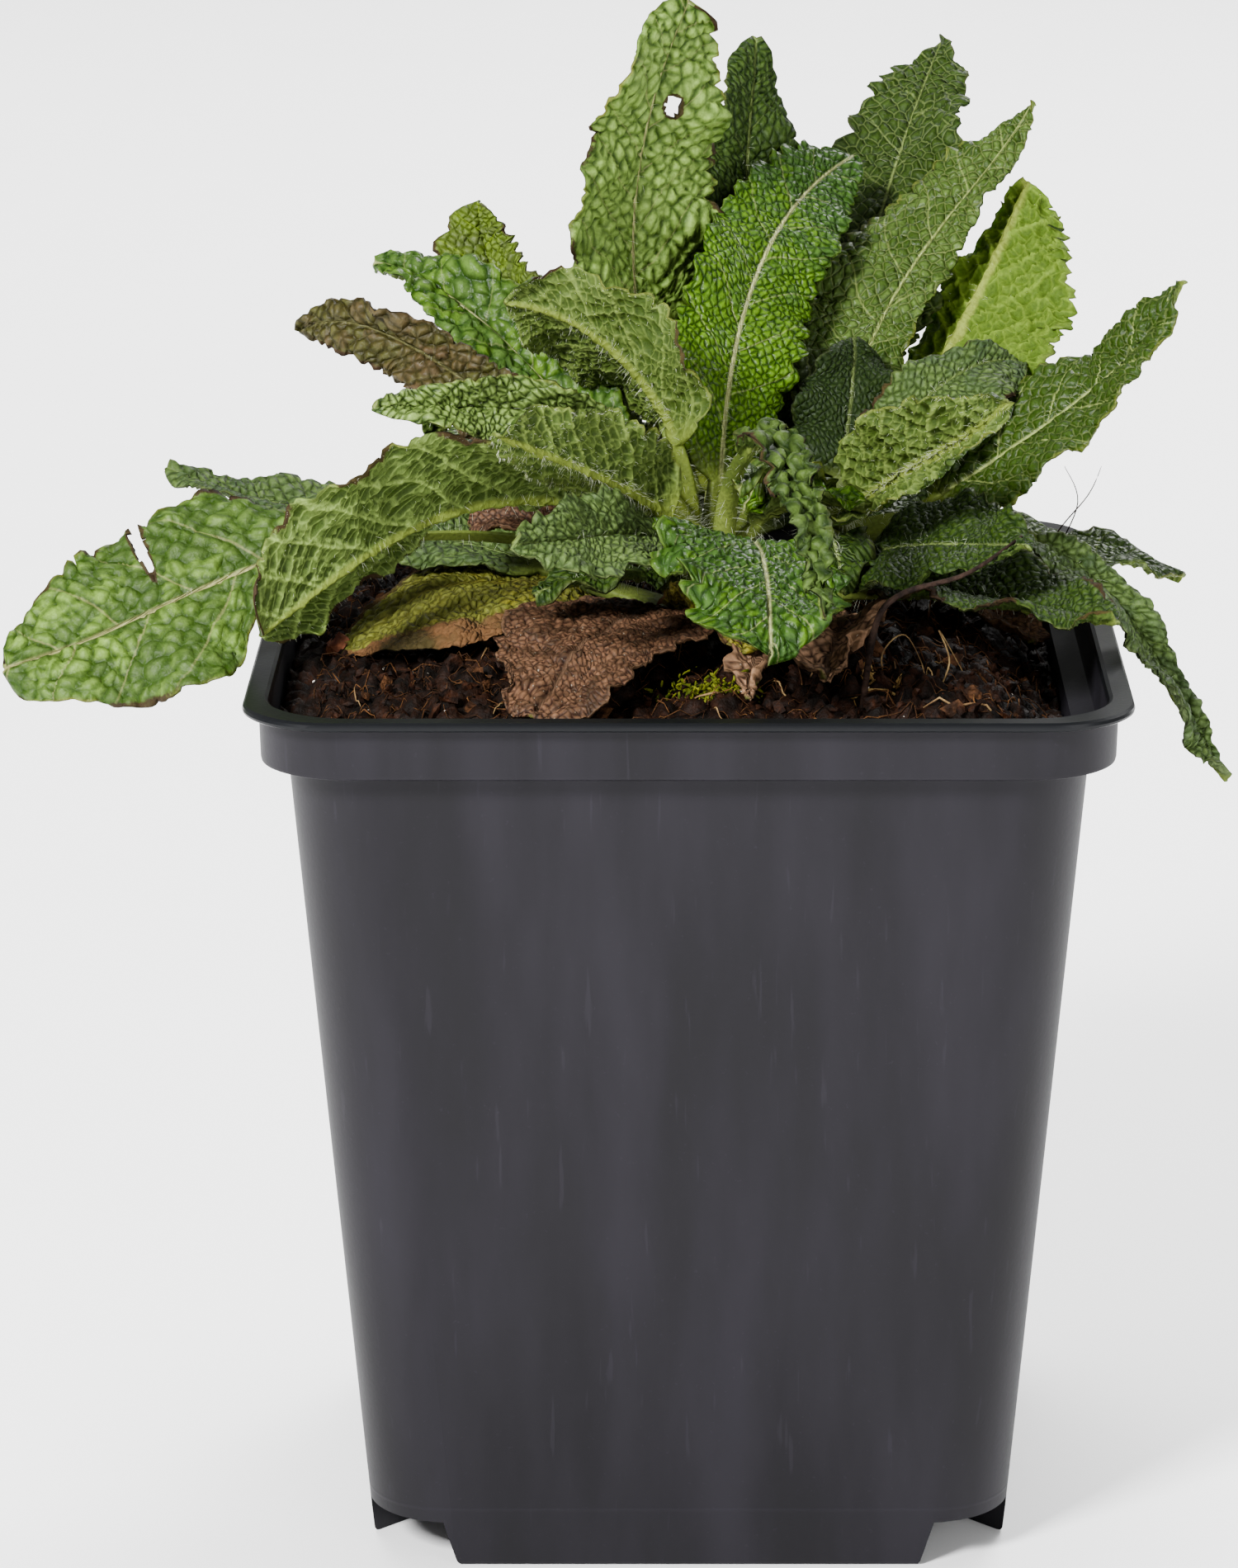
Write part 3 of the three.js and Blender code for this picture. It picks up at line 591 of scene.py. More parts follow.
        # Painted shade: a leaf with positive shading leans toward the dark colour.
        colour = r.blend(shade, colour, self.shade_and_mottle_dark)
        height = bulge * (1 - under * 1.5) + fine * 0.3
        gloss = under * 0.25 + self.roughness + worn * 0.2 + fine * 0.16 - 0.08
        return r.done(
            Base_Color=colour,
            Roughness=gloss,
            Normal=r.bump(height, self.relief),
            Specular_IOR_Level=self.shine,
            Subsurface_Weight=self.glow,
            Subsurface_Radius=(0.6, 1.0, 0.25),
            Subsurface_Scale=0.8 * MM,
        )


class Tone(Enum):
    """The kinds of leaf on the plant. Each value is the name of a material slot."""

    GREY = "leaf_grey"
    GREEN = "leaf_green"
    BRIGHT = "leaf_bright"
    DARK = "leaf_dark"
    PALE = "leaf_pale"
    BLUE = "leaf_blue"
    PURPLE = "leaf_purple"
    YELLOW = "leaf_yellow"
    DEAD_BROWN = "dead_brown"
    DEAD_YELLOW = "dead_yellow"


LEAF_FINISHES: dict[Tone, LeafFinish] = {
    Tone.GREY: LeafFinish(
        "grey_green_leaf", dome=paint(69, 91, 40), shaded_valley=paint(37, 62, 3),
        vein=paint(176, 172, 112), hollow=paint(52, 64, 19), rib=paint(98, 112, 54),
        margin=paint(117, 115, 44), tint=paint(118, 152, 59),
    ),
    Tone.GREEN: LeafFinish(
        "green_leaf", dome=paint(84, 107, 46), shaded_valley=paint(25, 45, 2),
        vein=paint(150, 164, 92), hollow=paint(46, 64, 12), rib=paint(107, 126, 57),
        margin=paint(108, 115, 43), tint=paint(46, 67, 16), stalk=paint(108, 122, 42),
        roughness=0.4,
    ),
    Tone.BRIGHT: LeafFinish(
        "young_bright_leaf", dome=paint(86, 124, 10), shaded_valley=paint(21, 48, 2),
        vein=paint(190, 194, 128), hollow=paint(56, 72, 23), rib=paint(94, 109, 52),
        margin=paint(89, 114, 38), tint=paint(57, 87, 31), tint_share=0.4, roughness=0.36,
        glow=0.07,
    ),
    Tone.DARK: LeafFinish(
        "shaded_dark_leaf", dome=paint(57, 78, 25), shaded_valley=paint(14, 33, 1),
        vein=paint(124, 142, 76), hollow=paint(33, 53, 3), rib=paint(70, 88, 33),
        margin=paint(73, 80, 38), tint=paint(42, 61, 9), roughness=0.56,
    ),
    Tone.PALE: LeafFinish(
        "pale_leaf", dome=paint(65, 90, 27), shaded_valley=paint(32, 56, 3),
        vein=paint(119, 145, 36), hollow=paint(66, 90, 16), rib=paint(106, 132, 38),
        margin=paint(89, 99, 45), tint=paint(58, 81, 13), stalk=paint(136, 148, 60),
        tint_share=0.6, glow=0.1,
    ),
    Tone.BLUE: LeafFinish(
        "blue_green_leaf", dome=paint(87, 109, 54), shaded_valley=paint(38, 55, 15),
        vein=paint(108, 129, 66), hollow=paint(54, 67, 35), rib=paint(89, 104, 63),
        margin=paint(86, 97, 50), tint=paint(56, 74, 45), roughness=0.56,
    ),
    Tone.PURPLE: LeafFinish(
        "purple_tinged_leaf", dome=paint(68, 68, 30), shaded_valley=paint(33, 29, 2),
        vein=paint(89, 87, 51), hollow=paint(58, 46, 24), rib=paint(77, 68, 45),
        margin=paint(67, 50, 32), tint=paint(76, 60, 38), tint_share=0.8, glow=0.03,
    ),
    Tone.YELLOW: LeafFinish(
        "yellowing_leaf", dome=paint(97, 119, 36), shaded_valley=paint(58, 75, 3),
        vein=paint(153, 187, 22), hollow=paint(73, 88, 30), rib=paint(109, 124, 53),
        margin=paint(74, 64, 44), tint=paint(81, 93, 47), tint_share=0.6,
    ),
    Tone.DEAD_BROWN: LeafFinish(
        "dry_brown_leaf", dome=paint(116, 83, 60), shaded_valley=paint(26, 6, 3),
        vein=paint(89, 66, 49), hollow=paint(88, 63, 42), rib=paint(116, 85, 58),
        margin=paint(107, 80, 57), tint=paint(58, 40, 27), light=paint(176, 136, 104),
        tint_share=0.75, roughness=0.6, glow=0.0, speck=0.5, relief=0.2,
    ),
    Tone.DEAD_YELLOW: LeafFinish(
        "dying_yellow_leaf", dome=paint(119, 113, 28), shaded_valley=paint(57, 56, 5),
        vein=paint(119, 115, 41), hollow=paint(67, 63, 24), rib=paint(98, 90, 46),
        margin=paint(75, 52, 29), tint=paint(81, 93, 37), scorch=paint(98, 67, 39),
        light=paint(168, 156, 48), tint_share=0.6, roughness=0.6, glow=0.02,
    ),
}


# ---- Leaf shapes --------------------------------------------------------------------------------


@dataclass(frozen=True)
class Mound:
    """The compost's smooth height: a mound that falls to the walls, with a dip round the crown."""

    middle: float = 95.5
    fall: float = 5.5
    half: float = 40.7
    dip: float = 3.2
    dip_radius: float = 8.0
    dip_at: tuple[float, float] = (6.0, 1.5)
    cover: float = 90.2  # least height over the ledge
    right_sag: float = 3.6  # how much lower it lies along the right wall
    front_sag: float = 0.4  # and along the front one
    left_rise: float = 1.8  # and how much higher along the left one
    wave: float = 6  # width of its slow waves
    wave_height: float = 0.8
    clod: float = 2.9  # width of its large lumps
    clod_height: float = 1.1
    lump_height: float = 0.35  # of its small ones
    crumb: float = 1.5
    crumb_height: float = 0.5

    def height(self, x: Array, y: Array) -> Array:
        """middle - fall (max(|x|, |y|) / half)^2 - dip exp(-(distance / dip radius)^2).

        Args:
            x, y: places on the compost.

        Returns:
            Heights in millimetres.
        """
        far = np.maximum(np.abs(x), np.abs(y)) / self.half
        gap = np.hypot(x - self.dip_at[0], y - self.dip_at[1])
        return self.middle - self.fall * far**2 - ridge(gap, self.dip, self.dip_radius)

    def rough(self, x: Array, y: Array) -> Array:
        """The height with clods: broken lumps of two sizes and fine crumbs over slow waves.

        It sags along the right wall. Along the others it stays high enough to hide the pot's ledge.

        Args:
            x, y: places on the compost.

        Returns:
            Heights in millimetres.
        """
        sag = self.right_sag * ease(x, 30, 38.5) + self.front_sag * ease(-y, 34, 41)
        sag = sag - self.left_rise * ease(-x, 30, 40)
        wave = self.wave_height * cloud(x / self.wave, y / self.wave, 11)
        big = ease(cells(x / self.clod, y / self.clod, 21, 1.0)[0], 0.02, 0.3) * self.clod_height
        small = ease(cells(x / 1.1, y / 1.2, 31, 1.0)[0], 0.0, 0.3) * self.lump_height
        crumb = self.crumb_height * cloud(x / self.crumb, y / self.crumb, 41, 3)
        height = self.height(x, y) - sag + wave + big + small + crumb - 1.0
        far = np.maximum(np.maximum(-x, np.abs(y)), 0)
        free = 9 * (1 - ease(far, 38.4, 39.2)) + 9 * ease(x, 38.5, 39.5)
        return np.maximum(height, self.cover - free)


MOUND = Mound()


class Shoot(Enum):
    """The three shoots of the crown, each as its foot and its tip in millimetres."""

    FRONT = ((4, -3, 92), (3, -6.5, 105))
    RIGHT = ((10, 1, 92), (15, 2, 105))
    REAR = ((4, 6, 92), (2.5, 11, 106))


@dataclass(frozen=True)
class Look:
    """What one leaf's skin has of its own, in millimetres unless said otherwise."""

    cell: float = 1.3  # width of its blisters
    stretch: float = 1.25  # their length over their width
    puff: float = 0.45  # their height
    fine: float = 1.5  # how many fine blisters cross a large one
    pebble: float = 1.0  # how strongly those show
    step: float = 0.28  # fineness of its mesh
    spacing: float = 4.8  # between side veins along the midrib
    lean: float = 0.9  # how far a side vein runs on for each millimetre outward
    tooth: float = 2.3  # width of the margin's round teeth
    notch: float = 1.0  # their depth
    crinkle: float = 0.55  # height of the blade's small waves
    scorch: float = 0.0  # share of the margin that is brown
    veins: float = 0.3  # how much its side veins show above, 0 to 1
    net: float = 0.0  # and its small veins
    crease: float = 0.5  # how wide a groove the side veins lie in, 0 to 1
    midrib: float = 1.0  # its midrib's width over the usual one
    shade: float = 0.0  # painted shade: how far it is darkened, or painted light if it is negative
    # The cast is partly the leaf's own hue and partly painted shade and painted light.
    cast: tuple[float, float] = (0.0, 0.0)  # leaning toward its second colour, at base and tip
    sides: tuple[float, float] = (1.0, 1.0)  # width of its left and right halves over the usual
    bare: tuple[float, float] = (0.0, 0.0)  # share of the leaf where each half is but a strip
    hairs: int = 120  # long hairs on stalk and midrib
    fuzz: int = 0  # short hairs under the blade
    cuts: tuple[tuple[float, float, float, float], ...] = ()  # holes: share, place, two half-widths


PLAIN = Look(puff=0.38, step=0.44)
DRY = Look(cell=0.9, puff=0.34, step=0.34, notch=1.4, crinkle=0.9, hairs=0)
SPANS = 60  # pieces of a leaf's midrib
REACH = 1.65  # from a shoot's axis to where a level leaf starts, in millimetres
STEEP_REACH = 0.75  # how much further out one that rises straight up starts


@dataclass(frozen=True)
class Leaf:
    """One leaf on a shoot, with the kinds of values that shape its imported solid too.

    The angles are in degrees. Some values differ a little from the solid's.
    """

    name: str
    tone: Tone
    shoot: Shoot
    tier: float = 0.7  # place along the shoot
    azimuth: float = 0  # heading seen from above, 0 toward +X
    swing: float = 0  # change of heading from base to tip
    rise: float = 45  # slope of the midrib at its base
    droop: float = 20  # slope lost along the midrib
    hook: float = 0  # slope lost again over the last stretch
    length: float = 45
    stalk: float = 0.3  # share of the length that is petiole
    width: float = 15
    belly: float = 0.7  # where the blade is widest
    taper: float = 0.58  # less is blunter
    roll: float = 0  # turn of the blade about its midrib
    twist: float = 0  # change of roll from base to tip
    fold: float = 12  # upward slope of each half
    cup: float = -0.1  # downward curl of the margins
    ruffle: float = 0.8  # height of the margin's waves
    waves: float = 3
    look: Look = PLAIN

    @property
    def salt(self) -> int:
        """A seed of the leaf's own."""
        return sum(ord(letter) * (place + 3) for place, letter in enumerate(self.name)) % 9973

    def frame(self, t: Array) -> tuple[Array, Array, Array]:
        """The midrib's direction and the blade's side and up directions at shares t.

        The heading swings and the slope droops along the leaf; side and up are then turned about
        the midrib by the roll and twist.

        Args:
            t: shares of the length, from the crown to the tip.

        Returns:
            The three directions, each rows by 3.
        """
        heading = np.radians(self.azimuth + self.swing * t)
        bend = self.hook * np.clip((t - 0.6) / 0.4, 0, 1) ** 2
        slope = np.radians(self.rise - self.droop * t - bend)
        level = np.cos(slope)
        along = np.stack([level * np.cos(heading), level * np.sin(heading), np.sin(slope)], -1)
        side = np.stack([np.sin(heading), -np.cos(heading), 0 * t], -1)
        up = np.cross(side, along)
        turn = -np.radians(self.roll + self.twist * t)[:, None]
        side, up = (
            arm * np.cos(turn) + np.cross(along, arm) * np.sin(turn) for arm in (side, up)
        )
        return along, side, up

    def midrib(self, t: Array) -> Array:
        """Points on the midrib at shares t: equal steps along its changing direction.

        It starts on its shoot's side, a little further out the steeper it rises.

        Args:
            t: shares of the length.

        Returns:
            Points, rows by 3.
        """
        foot, tip = (np.array(end, float) for end in self.shoot.value)
        heading = math.radians(self.azimuth)
        offset = REACH + STEEP_REACH * math.sin(math.radians(max(self.rise, 0)))
        outward = np.array([math.cos(heading), math.sin(heading), 0])
        root = foot + (tip - foot) * self.tier + offset * outward
        along = self.frame((np.arange(SPANS) + 0.5) / SPANS)[0]
        track = np.vstack([root, root + np.cumsum(along, axis=0) * self.length / SPANS])
        line = np.arange(SPANS + 1)
        return np.stack([np.interp(t * SPANS, line, track[:, axis]) for axis in range(3)], -1)

    def half(self, t: Array) -> tuple[Array, Array]:
        """Half-width at shares t, and the share u of the blade.

        The blade is rounded, and its stalk 2 mm wide and broader toward the crown.
        """
        u = np.clip((t - self.stalk) / (1 - self.stalk), 0, 1)
        blade = self.width / 2 * np.sin(math.pi * u**self.belly) ** self.taper
        return np.maximum(blade, self.stem(t) - 0.8 * ease(u, 0.5, 0.9)), u

    def stem(self, t: Array) -> Array:
        """The stalk's half-width: 1 mm, and up to 1.6 mm at the crown."""
        return 1 + 0.6 * np.clip(1 - t / self.stalk, 0, 1) ** 1.3 * min(self.length / 30, 1)

    def blade(self, t: Array) -> Array:
        """0 on the stalk, 1 on the blade."""
        return ease(t, self.stalk - 0.02, self.stalk + 0.08)

    def surface(self, t: Array, q: Array) -> Array:
        """The blade's middle layer over shares t and places q from -1 to 1 across it.

        Each half slopes up by the fold, curls by the cup and waves by the ruffle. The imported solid
        does so too, with coarser teeth and without the small crinkles.

        Args:
            t, q: those shares, and one row of places.

        Returns:
            Points, rows by columns by 3.
        """
        _, side, up = self.frame(t)
        half, u = self.half(t)
        look = self.look
        reach = np.abs(q)
        fold = math.radians(self.fold)
        is_blade = self.blade(t)[:, None]
        wide = half[:, None] * self.uneven(t, q)
        wave = np.sin(2 * math.pi * (self.waves * u[:, None] + 0.17 * np.sign(q)))
        lift = wide * (reach * math.sin(fold) + self.cup * q * q)
        lift = lift + self.ruffle * reach**1.5 * wave * ease(u, 0, 0.15)[:, None]
        s = (t * self.length)[:, None]
        v = wide * q
        crinkle = 1.3 * look.crinkle * reach**1.3 * cloud(s / 4.2, v / 4.2, self.salt, 2)
        crinkle = crinkle + 0.5 * look.notch * reach**6 * noise(s / 1.9, v / 3, self.salt + 9)
        lift = is_blade * (lift + crinkle)
        margin = self.margin(t, q, half)
        across = wide * margin * q * math.cos(fold)
        bulge = 0.4 * (margin - 1) * wide
        return (
            self.midrib(t)[:, None]
            + across[..., None] * side[:, None]
            + (lift + bulge * is_blade)[..., None] * up[:, None]
        )

    def uneven(self, t: Array, q: Array) -> Array:
        """Each half's own share of the width, a fifth of it along its bare part.

        Args:
            t, q: shares along the leaf and places across it.

        Returns:
            A factor, rows by columns.
        """
        left, right = (
            side * (1 - 0.8 * (1 - ease(t, bare, bare + 0.15)) * (bare > 0))[:, None]
            for side, bare in zip(self.look.sides, self.look.bare)
        )
        return np.where(q < 0, left, right)

    def margin(self, t: Array, q: Array, half: Array) -> Array:
        """How far the margin stands out: round teeth of unequal width over slow lobes.

        Args:
            t, q: shares along the leaf and places across it.
            half: half-widths at t.

        Returns:
            A factor for the distance from the midrib, rows by columns.
        """
        look = self.look
        s = (t * self.length)[:, None]
        side = np.sign(q) * 7.3
        pace = s / look.tooth + 0.8 * noise(s / 4, side, self.salt + 5) + side
        teeth = np.abs(np.sin(math.pi * pace)) ** 0.55 - 0.65
        small = np.abs(np.sin(math.pi * (2.6 * pace + 0.3))) ** 0.6 - 0.6
        depth = look.notch * (1 + 0.6 * noise(s / 3.1, side, self.salt + 6))
        lobes = 0.07 * noise(s / 7, side, self.salt + 7) * half[:, None]
        near_tip = 1 - 0.6 * ease(t, 0.93, 1)[:, None]
        shift = ((depth * teeth + 0.3 * look.notch * small) * near_tip + lobes) / half[:, None]
        return 1 + shift * self.blade(t)[:, None] * np.abs(q) ** 5


@dataclass(frozen=True)
class FallenLeaf:
    """A dead leaf lying on the compost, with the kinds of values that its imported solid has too."""

    name: str
    tone: Tone
    at: tuple[float, float]
    azimuth: float = 0
    swing: float = 0
    length: float = 20
    width: float = 9
    belly: float = 0.8
    taper: float = 0.45
    bed: float = 0.85  # height of its middle over the mound
    arch: float = 0  # extra height halfway along
    curl: float = 1  # rise of its margins
    tilt: float = 0  # rise of one margin over its middle line
    crumple: float = 0.5  # height of its waves
    waves: float = 2
    look: Look = DRY

    @property
    def salt(self) -> int:
        """A seed of the leaf's own."""
        return sum(ord(letter) * (place + 5) for place, letter in enumerate(self.name)) % 9973

    def half(self, t: Array) -> tuple[Array, Array]:
        """Half-width at shares t, and t itself."""
        return np.maximum(self.width / 2 * np.sin(math.pi * t**self.belly) ** self.taper, 0.5), t

    def stem(self, t: Array) -> Array:
        """1 mm all along."""
        return np.ones_like(t)

    def uneven(self, t: Array, q: Array) -> Array:
        """Both sides alike."""
        return np.ones((len(t), q.shape[1]))

    def blade(self, t: Array) -> Array:
        """1 all along, for it has no stalk."""
        return np.ones_like(t)

    def surface(self, t: Array, q: Array) -> Array:
        """Its middle layer: a path over the mound, raised by bed, arch, curl, tilt and crumple.

        Args:
            t, q: shares along the leaf and places from -1 to 1 across it.

        Returns:
            Points, rows by columns by 3.
        """
        heading = np.radians(self.azimuth + self.swing * t)
        step = np.diff(t, prepend=0)[:, None] * self.length
        path = np.cumsum(np.stack([np.cos(heading), np.sin(heading)], -1) * step, axis=0) + self.at
        half = self.half(t)[0]
        s = (t * self.length)[:, None]
        side = np.sign(q) * 5.1
        ragged = noise(s / 1.3, side, self.salt) * 0.5 + noise(s / 3.7, side, self.salt + 1) * 0.9
        across = half[:, None] * q + ragged * np.sign(q) * np.abs(q) ** 4 * self.look.notch
        x = path[:, :1] + np.sin(heading)[:, None] * across
        y = path[:, 1:] - np.cos(heading)[:, None] * across
        wave = (1 + np.sin(2 * math.pi * (self.waves * t[:, None] + 0.3 * q))) / 2
        lift = (self.arch + self.curl * q * q + self.tilt * q) * np.sin(math.pi * t)[:, None]
        crinkle = self.look.crinkle * cloud(s / 2.6, across / 2.6, self.salt + 2)
        z = MOUND.height(x, y) + self.bed + lift + self.crumple * wave + crinkle
        return np.stack([x, y, z], -1)


